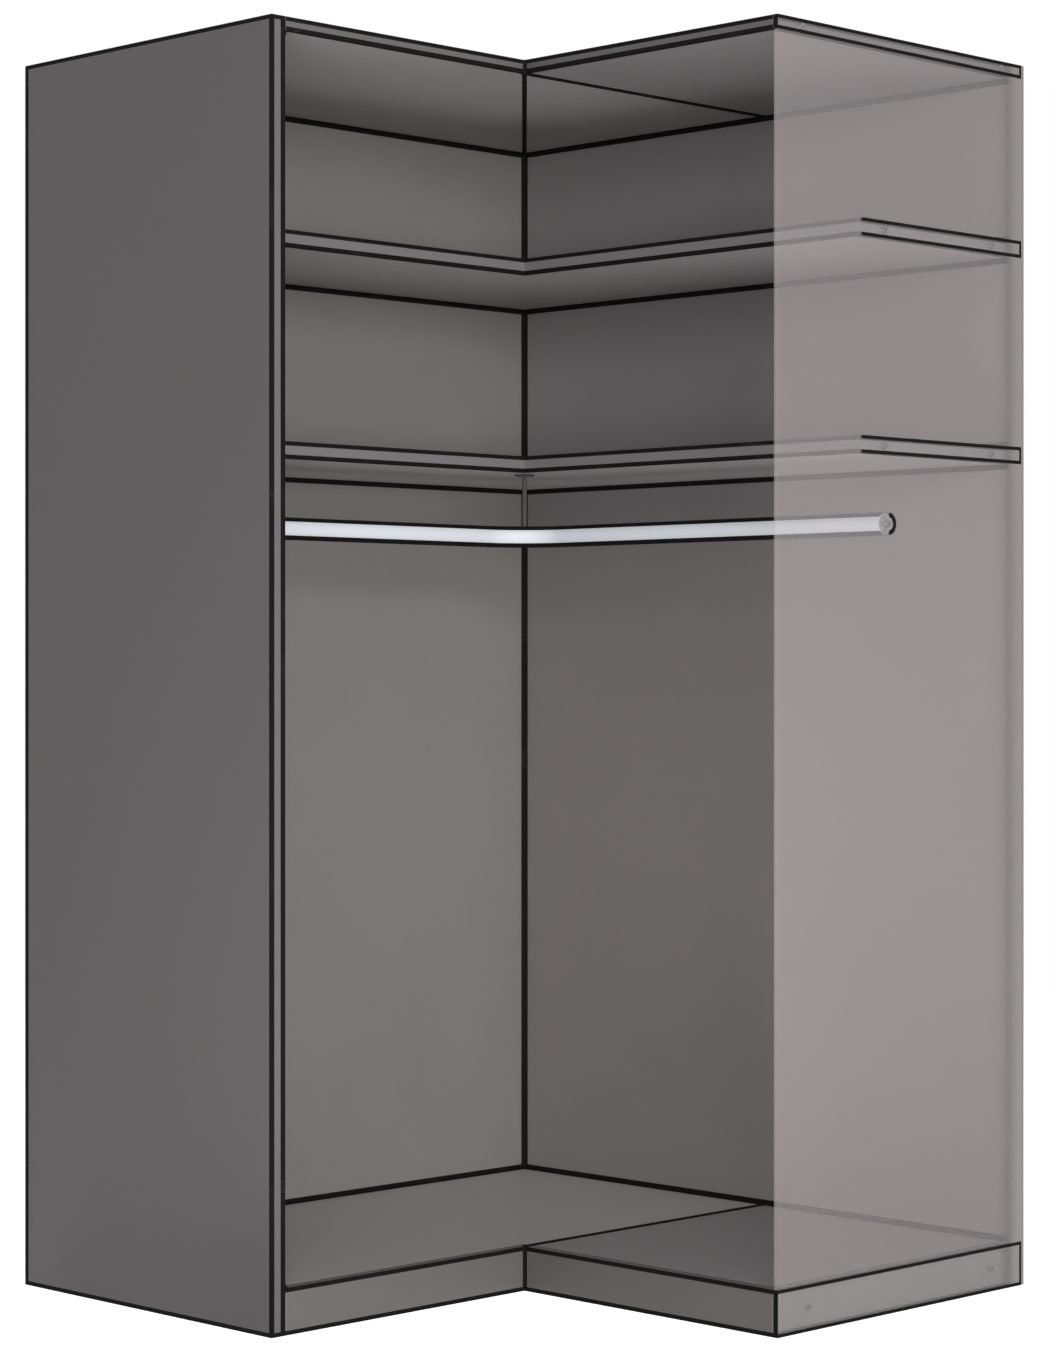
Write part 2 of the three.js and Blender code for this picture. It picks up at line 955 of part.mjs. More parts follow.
// A plate with a keyhole, drawn standing with its middle at the origin.
function wallPlateBody() {
  const halfWidth = wallPlateWidth / 2;
  const halfHeight = wallPlateHeight / 2;
  const plate = new THREE.Shape(
    rectangle(-halfWidth, -halfHeight, halfWidth, halfHeight).map(([u, v]) => new THREE.Vector2(u, v)),
  );
  const wide = keyholeWide / 2;
  const narrow = keyholeNarrow / 2;
  const low = -keyholeRise / 2;
  const neck = Math.asin(narrow / wide);
  const keyhole = new THREE.Path();
  keyhole.absarc(0, low, wide, quarterTurn - neck, quarterTurn + neck, true);
  keyhole.absarc(0, low + keyholeRise, narrow, Math.PI, 0, true);
  plate.holes.push(keyhole);
  return new THREE.ExtrudeGeometry(plate, {
    depth: wallPlateThickness,
    bevelEnabled: false,
    curveSegments: screwSides,
  });
}

// Sets a flat piece, drawn standing, against the back panel of one wing.
function againstBack(piece, wing, nearFace, thickness) {
  const height = ceiling - wallPlateDrop - wallPlateHeight / 2;
  if (wing === "left") {
    piece.rotation.x = quarterTurn;
    piece.position.set(cornerMiddle, nearFace + thickness, height);
  } else {
    piece.rotation.set(quarterTurn, 0, quarterTurn, "ZXY");
    piece.position.set(nearFace, cornerMiddle, height);
  }
  return piece;
}

function wallPlate(wing) {
  const plate = new THREE.Mesh(wallPlateBody(), zincSteel());
  plate.name = `wall_plate_${wing}`;
  return againstBack(plate, wing, backOuter + jointGap, wallPlateThickness);
}

// The pocket behind a keyhole, cut into the back panel so that a wall screw's head fits there.
function wallPocket(wing) {
  const radius = keyholeWide / 2 + wallPocketMargin;
  const outline = new THREE.Shape();
  outline.absarc(0, keyholeRise / 2, radius, 0, Math.PI);
  outline.absarc(0, -keyholeRise / 2, radius, Math.PI, 2 * Math.PI);
  const depth = wallPocketDepth + cutOverrun;
  const pocket = new THREE.ExtrudeGeometry(outline, { depth, bevelEnabled: false, curveSegments: screwSides });
  const holder = againstBack(new THREE.Object3D(), wing, backOuter - wallPocketDepth, depth);
  holder.updateMatrix();
  return pocket.applyMatrix4(holder.matrix);
}

// Every turned fitting, made once, so that the boards are drilled where the fittings lie.
function allFittings() {
  const bolts = camBolts();
  const topScrews = sheetScrews("top", openingWidth, legLength, topMiddle, boardEndScrewLength);
  const shelfLevels = [
    ["upper_shelf", upperShelfUnderside],
    ["lower_shelf", lowerShelfUnderside],
  ];
  const [upperShelfScrews, lowerShelfScrews] = shelfLevels.map(([target, underside]) =>
    sheetScrews(target, shelfFront, rearLimit, underside + shelfThickness / 2, boardEndScrewLength),
  );
  const plinthScrews = sheetScrews("plinth", floorFront, rearLimit, plinthMiddle, plinthScrewLength);
  return {
    camBolts: bolts,
    topCams: topCams(bolts),
    seamDowels: seamDowels(),
    topScrews,
    upperShelfScrews,
    lowerShelfScrews,
    plinthScrews,
    sheetScrews: [...topScrews, ...upperShelfScrews, ...lowerShelfScrews, ...plinthScrews],
    upperScrews: shelfScrews("upper", upperShelfUnderside),
    lowerScrews: shelfScrews("lower", lowerShelfUnderside),
    leftPlug: leftRailPlug(),
    rightPlug: rightRailPlug(),
    railScrew: railScrew(),
    hanger: railHanger(),
    hangerNut: railHangerNut(),
    footHousings: footPlaces().map(footHousing),
    feet: footPlaces().map(levellingFoot),
  };
}

// The cams, each bored through its rim for the bolt's head.
function boredCams(fittings) {
  return fittings.topCams.map((cam, index) => {
    const piece = turnedPiece(cam);
    cutAway(piece, [holeFor(fittings.camBolts[index])]);
    return piece;
  });
}

function makeWardrobe() {
  const fittings = allFittings();
  const upperHoles = fittings.upperShelfScrews.map(holeFor);
  const lowerHoles = [...fittings.lowerShelfScrews, fittings.hanger].map(holeFor);
  const { leftPlug, rightPlug, hanger, hangerNut } = fittings;
  const railFittings = [leftPlug, rightPlug, fittings.railScrew, hanger, hangerNut];
  const carcass = new THREE.Group();
  carcass.add(
    leftSidePanel(fittings),
    rightSideSheet(fittings),
    ...topBoards(fittings),
    ...backPanels(fittings),
    ...plinths(fittings),
    ...floorBoards(fittings),
    ...baseRails(),
    rearCornerAngle(),
    wallPlate("left"),
    wallPlate("right"),
  );
  const interior = new THREE.Group();
  interior.add(
    shelf("upper_shelf", upperShelfUnderside, fittings.upperScrews, upperHoles),
    shelf("lower_shelf", lowerShelfUnderside, fittings.lowerScrews, lowerHoles),
    hangingRail(fittings.hanger),
    ...railFittings.map(turnedPiece),
  );
  const fasteners = new THREE.Group();
  fasteners.add(
    ...pinPlaces().map(shelfPin),
    ...Object.values(fittings.upperScrews).map(turnedPiece),
    ...Object.values(fittings.lowerScrews).map(turnedPiece),
    ...fittings.sheetScrews.map(turnedPiece),
    ...fittings.camBolts.map(turnedPiece),
    ...boredCams(fittings),
    ...fittings.seamDowels.map(turnedPiece),
  );
  const feet = new THREE.Group();
  feet.add(...fittings.footHousings.map(turnedPiece), ...fittings.feet.map(turnedPiece));

  const wardrobe = new THREE.Group();
  wardrobe.add(carcass, interior, fasteners, feet);
  wardrobe.position.set(-legLength / 2, -legLength / 2, 0);
  return wardrobe;
}

const cornerWardrobe = new THREE.Group();
cornerWardrobe.add(makeWardrobe());

export default cornerWardrobe;
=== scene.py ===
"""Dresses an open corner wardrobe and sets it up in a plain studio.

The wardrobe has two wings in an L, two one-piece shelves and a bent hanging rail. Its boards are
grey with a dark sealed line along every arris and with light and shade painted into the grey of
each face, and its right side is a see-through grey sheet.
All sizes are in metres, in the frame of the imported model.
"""

import sys

import logging
import math
from abc import ABC, abstractmethod
from collections.abc import Iterable, Sequence
from dataclasses import dataclass
from enum import Enum
from typing import ClassVar

import bmesh
import bpy
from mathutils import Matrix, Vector


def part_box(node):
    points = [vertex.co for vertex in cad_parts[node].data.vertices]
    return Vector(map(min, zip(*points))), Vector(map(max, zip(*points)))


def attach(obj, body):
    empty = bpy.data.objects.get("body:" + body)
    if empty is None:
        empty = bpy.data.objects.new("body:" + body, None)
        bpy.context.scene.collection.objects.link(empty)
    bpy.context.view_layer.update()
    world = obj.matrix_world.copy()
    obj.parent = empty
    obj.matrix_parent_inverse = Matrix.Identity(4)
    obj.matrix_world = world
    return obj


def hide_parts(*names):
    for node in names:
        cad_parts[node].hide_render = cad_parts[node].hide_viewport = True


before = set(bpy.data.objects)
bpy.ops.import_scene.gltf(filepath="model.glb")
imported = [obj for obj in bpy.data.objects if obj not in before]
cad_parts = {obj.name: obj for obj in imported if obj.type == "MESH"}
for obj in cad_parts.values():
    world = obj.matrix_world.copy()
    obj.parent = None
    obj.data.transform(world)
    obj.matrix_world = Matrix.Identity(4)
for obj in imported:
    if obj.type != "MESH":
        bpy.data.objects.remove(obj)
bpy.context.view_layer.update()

log = logging.getLogger("wardrobe")

MM = 0.001
FULL_TURN = 2 * math.pi
QUARTER_TURN = FULL_TURN / 4
CREASE = math.radians(32)

RIGHT = Vector((1.0, 0.0, 0.0))
BACK = Vector((0.0, 1.0, 0.0))
UP = Vector((0.0, 0.0, 1.0))

Point2 = tuple[float, float]
Span = tuple[float, float, float, float]
Colour = tuple[float, float, float, float]
Fed = float | Sequence[float] | bpy.types.NodeSocket
Sockets = dict[str, bpy.types.NodeSocket]

WHITE: Colour = (1.0, 1.0, 1.0, 1.0)

# The sRGB curve, which is straight near black
SCREEN_STEPS = 255
STRAIGHT_END = 0.04045
STRAIGHT_SLOPE = 12.92
CURVE_OFFSET = 0.055
CURVE_POWER = 2.4


class Slot(Enum):
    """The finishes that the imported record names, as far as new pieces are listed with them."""

    BOARD = "grey_board"
    TUBE = "satin_tube"
    PAINTED = "painted_steel"
    FIXING = "sheet_fixing"
    ZINC = "zinc_steel"
    PLASTIC = "black_plastic"


class Across(Enum):
    """The direction across a board, from one broad face to the other."""

    X = (1.0, 0.0, 0.0)
    Y = (0.0, 1.0, 0.0)
    Z = (0.0, 0.0, 1.0)


def screen_colour(red: float, green: float, blue: float) -> Colour:
    """Turns the values that a screen shows into the ones that a shader takes.

    Args:
        red: Red from 0 to 255.
        green: Green from 0 to 255.
        blue: Blue from 0 to 255.

    Returns:
        The same colour in linear values, with full alpha.
    """

    def linear(value: float) -> float:
        """Turns one channel into linear light.

        Args:
            value: What a screen shows, from 0 to 255.

        Returns:
            The channel's linear value, from 0 to 1.
        """
        share = value / SCREEN_STEPS
        if share <= STRAIGHT_END:
            return share / STRAIGHT_SLOPE
        return ((share + CURVE_OFFSET) / (1 + CURVE_OFFSET)) ** CURVE_POWER

    return linear(red), linear(green), linear(blue), 1.0


def in_scene(name: str, data: bpy.types.ID) -> bpy.types.Object:
    """Makes an object and links it to the scene.

    Args:
        name: The object's name.
        data: Its mesh, lamp or camera.

    Returns:
        The new object.
    """
    placed = bpy.data.objects.new(name, data)
    bpy.context.scene.collection.objects.link(placed)
    return placed


# Shader nodes


class Wiring:
    """Adds nodes to one node tree and links them."""

    mix_inputs: ClassVar[tuple[int, int, int]] = (0, 6, 7)
    mix_output: ClassVar[int] = 2

    def __init__(self, tree: bpy.types.NodeTree) -> None:
        """Takes the tree that the nodes go into."""
        self.tree = tree

    @classmethod
    def blank(cls, owner: bpy.types.Material | bpy.types.World) -> "Wiring":
        """Clears the nodes of a material or a world.

        Args:
            owner: The material or the world.

        Returns:
            Its wiring, with no nodes yet.
        """
        owner.use_nodes = True
        owner.node_tree.nodes.clear()
        return cls(owner.node_tree)

    def node(self, kind: str, **settings: object) -> bpy.types.Node:
        """Adds one node.

        Args:
            kind: The node's type.
            settings: The properties to set on it.

        Returns:
            The new node.
        """
        node = self.tree.nodes.new(kind)
        for name, value in settings.items():
            setattr(node, name, value)
        return node

    def feed(self, socket: bpy.types.NodeSocket, value: Fed) -> None:
        """Links a socket to another one, or sets its own value.

        Args:
            socket: The input.
            value: An output to link to it, or a plain value.
        """
        if isinstance(value, bpy.types.NodeSocket):
            self.tree.links.new(value, socket)
        else:
            socket.default_value = value

    def feed_all(self, node: bpy.types.Node, values: dict[str, Fed]) -> None:
        """Feeds the named inputs of one node."""
        for name, value in values.items():
            self.feed(node.inputs[name], value)

    def feed_in_order(self, node: bpy.types.Node, *values: Fed) -> None:
        """Feeds the first inputs of one node."""
        for socket, value in zip(node.inputs, values, strict=False):
            self.feed(socket, value)

    def math(self, operation: str, *values: Fed) -> bpy.types.NodeSocket:
        """Adds a sum of plain numbers.

        Args:
            operation: What to do with them.
            values: The numbers, in the node's own order.

        Returns:
            The result.
        """
        node = self.node("ShaderNodeMath", operation=operation)
        self.feed_in_order(node, *values)
        return node.outputs["Value"]

    def centred(self, value: Fed) -> bpy.types.NodeSocket:
        """Moves a value from 0 to 1 so that it lies about 0."""
        return self.math("SUBTRACT", value, 0.5)

    def vector_math(self, operation: str, output: str, *values: Fed) -> bpy.types.NodeSocket:
        """Adds a sum of vectors.

        Args:
            operation: What to do with them.
            output: The output to take.
            values: The vectors, in the node's own order.

        Returns:
            The named output.
        """
        node = self.node("ShaderNodeVectorMath", operation=operation)
        self.feed_in_order(node, *values)
        return node.outputs[output]

    def scaled(self, vector: Fed, factor: Fed) -> bpy.types.NodeSocket:
        """Multiplies a vector or colour by a number.

        Args:
            vector: The vector or colour.
            factor: The number.

        Returns:
            The product.
        """
        node = self.node("ShaderNodeVectorMath", operation="SCALE")
        self.feed_all(node, {"Vector": vector, "Scale": factor})
        return node.outputs["Vector"]

    def span(self, value: Fed, low: float, high: float, to_low: Fed, to_high: Fed) -> bpy.types.NodeSocket:
        """Carries a value from one range over to another, smoothly and without passing its ends.

        Args:
            value: The value.
            low: Where its range starts.
            high: Where its range ends.
            to_low: What it becomes up to the start.
            to_high: What it becomes from the end on.

        Returns:
            The value in its new range.
        """
        node = self.node("ShaderNodeMapRange", interpolation_type="SMOOTHSTEP")
        ranges = {"Value": value, "From Min": low, "From Max": high, "To Min": to_low, "To Max": to_high}
        self.feed_all(node, ranges)
        return node.outputs["Result"]

    def noise(self, position: Fed, scale: Fed, detail: float) -> bpy.types.NodeSocket:
        """Adds soft noise.

        Args:
            position: Where on the surface it is read.
            scale: How many features it has to a metre.
            detail: How many finer layers it has.

        Returns:
            The noise, from 0 to 1.
        """
        node = self.node("ShaderNodeTexNoise")
        self.feed_all(node, {"Vector": position, "Scale": scale, "Detail": detail})
        return node.outputs[0]

    def blend(self, amount: Fed, first: Fed, second: Fed) -> bpy.types.NodeSocket:
        """Goes from one colour to another.

        Args:
            amount: How far to go, from 0 to 1.
            first: The colour at 0.
            second: The colour at 1.

        Returns:
            The blended colour.
        """
        node = self.node("ShaderNodeMix", data_type="RGBA", clamp_factor=True)
        for index, value in zip(self.mix_inputs, (amount, first, second), strict=True):
            self.feed(node.inputs[index], value)
        return node.outputs[self.mix_output]

    def place(self) -> bpy.types.NodeSocket:
        """Where a point of the surface lies on its own piece."""
        return self.node("ShaderNodeTexCoord").outputs["Object"]

    def normal(self) -> bpy.types.NodeSocket:
        """Which way the surface faces, without its bumps."""
        return self.node("ShaderNodeNewGeometry").outputs["True Normal"]


@dataclass(frozen=True)
class Socket:
    """One input or output of a shared group."""

    name: str
    kind: str = "NodeSocketFloat"


COLOUR_KIND = "NodeSocketColor"
VECTOR_KIND = "NodeSocketVector"


class SharedGroup(ABC):
    """A shader node group that is built once and placed in many finishes."""

    title: ClassVar[str]
    inputs: ClassVar[tuple[Socket, ...]]
    outputs: ClassVar[tuple[Socket, ...]]

    @classmethod
    @abstractmethod
    def fill(cls, wiring: Wiring, given: Sockets) -> dict[str, Fed]:
        """Adds the group's nodes.

        Args:
            wiring: Where the nodes go.
            given: The group's inputs by name.

        Returns:
            What each output gets, by name.
        """

    @classmethod
    def tree(cls) -> bpy.types.NodeTree:
        """Builds the group the first time that it is asked for.

        Returns:
            The group itself.
        """
        found = bpy.data.node_groups.get(cls.title)
        if found is not None:
            return found
        tree = bpy.data.node_groups.new(cls.title, "ShaderNodeTree")
        for way, sockets in (("INPUT", cls.inputs), ("OUTPUT", cls.outputs)):
            for socket in sockets:
                tree.interface.new_socket(socket.name, in_out=way, socket_type=socket.kind)
        wiring = Wiring(tree)
        source = wiring.node("NodeGroupInput")
        sink = wiring.node("NodeGroupOutput")
        given = {socket.name: source.outputs[socket.name] for socket in cls.inputs}
        wiring.feed_all(sink, cls.fill(wiring, given))
        return tree

    @classmethod
    def placed(cls, wiring: Wiring, **values: Fed) -> bpy.types.bpy_prop_collection:
        """Places the group in a material.

        Args:
            wiring: The material's nodes.
            values: A value for each input.

        Returns:
            The outputs of the placed group.
        """
        node = wiring.node("ShaderNodeGroup", node_tree=cls.tree())
        wiring.feed_all(node, values)
        return node.outputs


class FineSurface(SharedGroup):
    """Cloudy tone and a fine pearl, as on pressed board, lacquer and moulded plastic."""

    title = "fine surface"
    inputs = (Socket("Base", COLOUR_KIND), Socket("Dullness"), Socket("Spread"), Socket("Pearls"))
    outputs = (Socket("Colour", COLOUR_KIND), Socket("Roughness"), Socket("Height"))
    clouds: ClassVar[float] = 4.5
    cloud_detail: ClassVar[float] = 2.0
    cloud_dulling: ClassVar[float] = 0.16
    mottles: ClassVar[float] = 60.0
    mottle_detail: ClassVar[float] = 3.0
    mottle_share: ClassVar[float] = 0.6
    pearl_detail: ClassVar[float] = 2.0
    pearl_share: ClassVar[float] = 0.9
    pearl_dulling: ClassVar[float] = 0.1

    @classmethod
    def fill(cls, wiring: Wiring, given: Sockets) -> dict[str, Fed]:
        """Adds clouds, mottles and pearls up into one tone.

        Args:
            wiring: Where the nodes go.
            given: The base colour, its dullness, the tone's spread and the pearls to a metre.

        Returns:
            The toned colour, its roughness and the pearls' height.
        """
        place = wiring.place()
        cloud = wiring.centred(wiring.noise(place, cls.clouds, cls.cloud_detail))
        mottle = wiring.centred(wiring.noise(place, cls.mottles, cls.mottle_detail))
        height = wiring.noise(place, given["Pearls"], cls.pearl_detail)
        pearl = wiring.centred(height)
        broad = wiring.math("MULTIPLY_ADD", mottle, cls.mottle_share, cloud)
        total = wiring.math("MULTIPLY_ADD", pearl, cls.pearl_share, broad)
        tone = wiring.math("MULTIPLY_ADD", total, given["Spread"], 1.0)
        worn = wiring.math("MULTIPLY_ADD", cloud, cls.cloud_dulling, given["Dullness"])
        roughness = wiring.math("MULTIPLY_ADD", pearl, cls.pearl_dulling, worn)
        return {"Colour": wiring.scaled(given["Base"], tone), "Roughness": roughness, "Height": height}


class Facing(SharedGroup):
    """Gives the two broad faces of a board and its banded edges their own greys, as painted light and shade.
    """

    title = "facing"
    inputs = (
        Socket("Face", COLOUR_KIND),
        Socket("Reverse", COLOUR_KIND),
        Socket("Band", COLOUR_KIND),
        Socket("Across", VECTOR_KIND),
    )
    outputs = (Socket("Colour", COLOUR_KIND),)
    edge_on: ClassVar[float] = 0.5

    @classmethod
    def fill(cls, wiring: Wiring, given: Sockets) -> dict[str, Fed]:
        """Compares the way that the surface faces with the way across the board.

        Args:
            wiring: Where the nodes go.
            given: The three greys and the way across the board.

        Returns:
            The grey of each place.
        """
        along = wiring.vector_math("DOT_PRODUCT", "Value", wiring.normal(), given["Across"])
        banded = wiring.math("LESS_THAN", wiring.math("ABSOLUTE", along), cls.edge_on)
        turned = wiring.math("LESS_THAN", along, 0.0)
        broad = wiring.blend(turned, given["Face"], given["Reverse"])
        return {"Colour": wiring.blend(banded, broad, given["Band"])}


class Dust(SharedGroup):
    """A thin fall of dust on what faces up."""

    title = "dust"
    inputs = (Socket("Base", COLOUR_KIND), Socket("Dullness"), Socket("Amount"))
    outputs = (Socket("Colour", COLOUR_KIND), Socket("Roughness"))
    dust_colour: ClassVar[Colour] = screen_colour(168, 163, 156)
    dulling: ClassVar[float] = 0.6
    level: ClassVar[Span] = (0.6, 0.98, 0.0, 1.0)
    drifts: ClassVar[float] = 9.0
    drift_detail: ClassVar[float] = 4.0
    drift_span: ClassVar[Span] = (0.35, 0.75, 0.25, 1.0)
    specks: ClassVar[float] = 420.0
    speck_detail: ClassVar[float] = 1.0
    speck_span: ClassVar[Span] = (0.45, 0.7, 0.5, 1.0)

    @classmethod
    def fill(cls, wiring: Wiring, given: Sockets) -> dict[str, Fed]:
        """Lays drifts and specks on the faces that look up.

        Args:
            wiring: Where the nodes go.
            given: The base colour, its dullness and the amount of dust.

        Returns:
            The dusty colour and its roughness.
        """
        upward = wiring.vector_math("DOT_PRODUCT", "Value", wiring.normal(), Across.Z.value)
        facing = wiring.span(upward, *cls.level)
        place = wiring.place()
        drift = wiring.span(wiring.noise(place, cls.drifts, cls.drift_detail), *cls.drift_span)
        speck = wiring.span(wiring.noise(place, cls.specks, cls.speck_detail), *cls.speck_span)
        settled = wiring.math("MULTIPLY", wiring.math("MULTIPLY", drift, speck), facing)
        mask = wiring.math("MULTIPLY", settled, given["Amount"])
        roughness = wiring.math("MULTIPLY_ADD", mask, cls.dulling, given["Dullness"])
        return {"Colour": wiring.blend(mask, given["Base"], cls.dust_colour), "Roughness": roughness}


class Wear(SharedGroup):
    """Rubbed patches where hands and clothes pass."""

    title = "wear"
    inputs = (
        Socket("Base", COLOUR_KIND),
        Socket("Rubbed", COLOUR_KIND),
        Socket("Amount"),
        Socket("Patches"),
    )
    outputs = (Socket("Colour", COLOUR_KIND),)
    patch_detail: ClassVar[float] = 2.0
    patch_span: ClassVar[Span] = (0.56, 0.7, 0.0, 1.0)
    nicks_to_a_patch: ClassVar[float] = 14.0
    nick_detail: ClassVar[float] = 3.0
    nick_span: ClassVar[Span] = (0.42, 0.62, 0.0, 1.0)

    @classmethod
    def fill(cls, wiring: Wiring, given: Sockets) -> dict[str, Fed]:
        """Breaks broad patches up with fine nicks.

        Args:
            wiring: Where the nodes go.
            given: The two colours, the amount of wear and the patches to a metre.

        Returns:
            The worn colour.
        """
        place = wiring.place()
        patch = wiring.span(wiring.noise(place, given["Patches"], cls.patch_detail), *cls.patch_span)
        nicks = wiring.math("MULTIPLY", given["Patches"], cls.nicks_to_a_patch)
        nick = wiring.span(wiring.noise(place, nicks, cls.nick_detail), *cls.nick_span)
        mask = wiring.math("MULTIPLY", wiring.math("MULTIPLY", patch, nick), given["Amount"])
        return {"Colour": wiring.blend(mask, given["Base"], given["Rubbed"])}


class Brushed(SharedGroup):
    """Fine drawn lines and a few handling marks on metal."""

    title = "brushed metal"
    inputs = (Socket("Base", COLOUR_KIND), Socket("Dullness"), Socket("Stretch", VECTOR_KIND))
    outputs = (Socket("Colour", COLOUR_KIND), Socket("Roughness"), Socket("Height"))
    lines: ClassVar[float] = 1900.0
    line_detail: ClassVar[float] = 2.0
    line_dulling: ClassVar[float] = 0.12
    line_tone: ClassVar[float] = 0.1
    marks: ClassVar[float] = 28.0
    mark_detail: ClassVar[float] = 4.0
    mark_span: ClassVar[Span] = (0.5, 0.72, 0.0, 0.09)

    @classmethod
    def fill(cls, wiring: Wiring, given: Sockets) -> dict[str, Fed]:
        """Draws noise out along the piece for the lines, and leaves it round for the marks.

        Args:
            wiring: Where the nodes go.
            given: The base colour, its dullness and how the lines are stretched.

        Returns:
            The streaked colour, its roughness and the lines' height.
        """
        place = wiring.place()
        drawn = wiring.vector_math("MULTIPLY", "Vector", place, given["Stretch"])
        height = wiring.noise(drawn, cls.lines, cls.line_detail)
        mark = wiring.noise(place, cls.marks, cls.mark_detail)
        line = wiring.centred(height)
        handled = wiring.span(mark, *cls.mark_span)
        streaked = wiring.math("MULTIPLY_ADD", line, cls.line_dulling, given["Dullness"])
        tone = wiring.math("MULTIPLY_ADD", line, cls.line_tone, 1.0)
        return {
            "Colour": wiring.scaled(given["Base"], tone),
            "Roughness": wiring.math("ADD", streaked, handled),
            "Height": height,
        }


class Flakes(SharedGroup):
    """Pressed wood flakes, as raw board shows on its faces."""

    title = "wood flakes"
    inputs = (Socket("Pale", COLOUR_KIND), Socket("Deep", COLOUR_KIND), Socket("Flakes"))
    outputs = (Socket("Colour", COLOUR_KIND), Socket("Height"))
    stretch: ClassVar[tuple[float, float, float]] = (1.0, 0.55, 1.6)
    flake_share: ClassVar[float] = 0.65
    fibres: ClassVar[float] = 900.0
    fibre_detail: ClassVar[float] = 2.0
    fibre_share: ClassVar[float] = 0.35

    @classmethod
    def fill(cls, wiring: Wiring, given: Sockets) -> dict[str, Fed]:
        """Tints each cell of a stretched cell pattern by itself.

        Args:
            wiring: Where the nodes go.
            given: The two browns and the flakes to a metre.

        Returns:
            The flakes' colour and height.
        """
        place = wiring.place()
        stretched = wiring.vector_math("MULTIPLY", "Vector", place, cls.stretch)
        cell = wiring.node("ShaderNodeTexVoronoi", feature="F1")
        wiring.feed_all(cell, {"Vector": stretched, "Scale": given["Flakes"]})
        split = wiring.node("ShaderNodeSeparateColor")
        wiring.feed(split.inputs["Color"], cell.outputs["Color"])
        flake = wiring.math("MULTIPLY", split.outputs["Red"], cls.flake_share)
        fibre = wiring.noise(place, cls.fibres, cls.fibre_detail)
        tint = wiring.math("MULTIPLY_ADD", fibre, cls.fibre_share, flake)
        return {"Colour": wiring.blend(tint, given["Pale"], given["Deep"]), "Height": tint}


# Finishes


@dataclass(frozen=True)
class Finish(ABC):
    """What a surface is made of. Each kind builds one material."""

    name: str
    colour: Colour
    dullness: float

    relief: ClassVar[float] = 0.02 * MM

    def material(self) -> bpy.types.Material:
        """Builds the finish's material.

        Returns:
            A material with one shader, wired by this finish.
        """
        material = bpy.data.materials.new(self.name)
        material.diffuse_color = self.colour
        wiring = Wiring.blank(material)
        shader = wiring.node("ShaderNodeBsdfPrincipled")
        output = wiring.node("ShaderNodeOutputMaterial")
        wiring.feed(output.inputs["Surface"], shader.outputs["BSDF"])
        self.wire(wiring, shader)
        return material

    @abstractmethod
    def wire(self, wiring: Wiring, shader: bpy.types.Node) -> None:
        """Feeds the shader with this finish's patterns.

        Args:
            wiring: The material's nodes.
            shader: Its shader.
        """

    def feed_shader(
        self, wiring: Wiring, shader: bpy.types.Node, colour: Fed, roughness: Fed, height: Fed
    ) -> None:
        """Feeds what every finish has.

        Args:
            wiring: The material's nodes.
            shader: Its shader.
            colour: The surface's colour.
            roughness: Its roughness.
            height: A height from 0 to 1, which tilts the surface as deep as the finish's relief.
        """
        bump = wiring.node("ShaderNodeBump")
        wiring.feed_all(bump, {"Strength": 1.0, "Distance": self.relief, "Height": height})
        feeds = {"Base Color": colour, "Roughness": roughness, "Normal": bump.outputs["Normal"]}
        wiring.feed_all(shader, feeds)


@dataclass(frozen=True)
class BoardFinish(Finish):
    """Pressed grey facing on a board, with a band of nearly the same grey on its narrow faces, each in its
    own grey as painted light and shade.
    """

    reverse: Colour
    band: Colour
    across: Across = Across.Z
    dust: float = 0.0
    spread: float = 0.1
    pearls: float = 620.0

    def wire(self, wiring: Wiring, shader: bpy.types.Node) -> None:
        """Puts the band on the facing, then the pearl on both, and dust on top.

        Args:
            wiring: The material's nodes.
            shader: Its shader.
        """
        faced = Facing.placed(
            wiring, Face=self.colour, Reverse=self.reverse, Band=self.band, Across=self.across.value
        )
        surface = FineSurface.placed(
            wiring, Base=faced["Colour"], Dullness=self.dullness, Spread=self.spread, Pearls=self.pearls
        )
        dusty = Dust.placed(
            wiring, Base=surface["Colour"], Dullness=surface["Roughness"], Amount=self.dust
        )
        self.feed_shader(wiring, shader, dusty["Colour"], dusty["Roughness"], surface["Height"])


@dataclass(frozen=True)
class SealFinish(Finish):
    """The dark lacquer line on the arrises, rubbed in places."""

    rubbed: Colour
    wear: float = 0.8
    patches: float = 16.0
    spread: float = 0.3
    pearls: float = 800.0
    shine: float = 0.06

    def wire(self, wiring: Wiring, shader: bpy.types.Node) -> None:
        """Rubs the lacquer through to a paler grey, with a fine pearl over all of it.

        Args:
            wiring: The material's nodes.
            shader: Its shader.
        """
        worn = Wear.placed(
            wiring, Base=self.colour, Rubbed=self.rubbed, Amount=self.wear, Patches=self.patches
        )
        surface = FineSurface.placed(
            wiring, Base=worn["Colour"], Dullness=self.dullness, Spread=self.spread, Pearls=self.pearls
        )
        wiring.feed(shader.inputs["Specular IOR Level"], self.shine)
        self.feed_shader(wiring, shader, surface["Colour"], surface["Roughness"], surface["Height"])


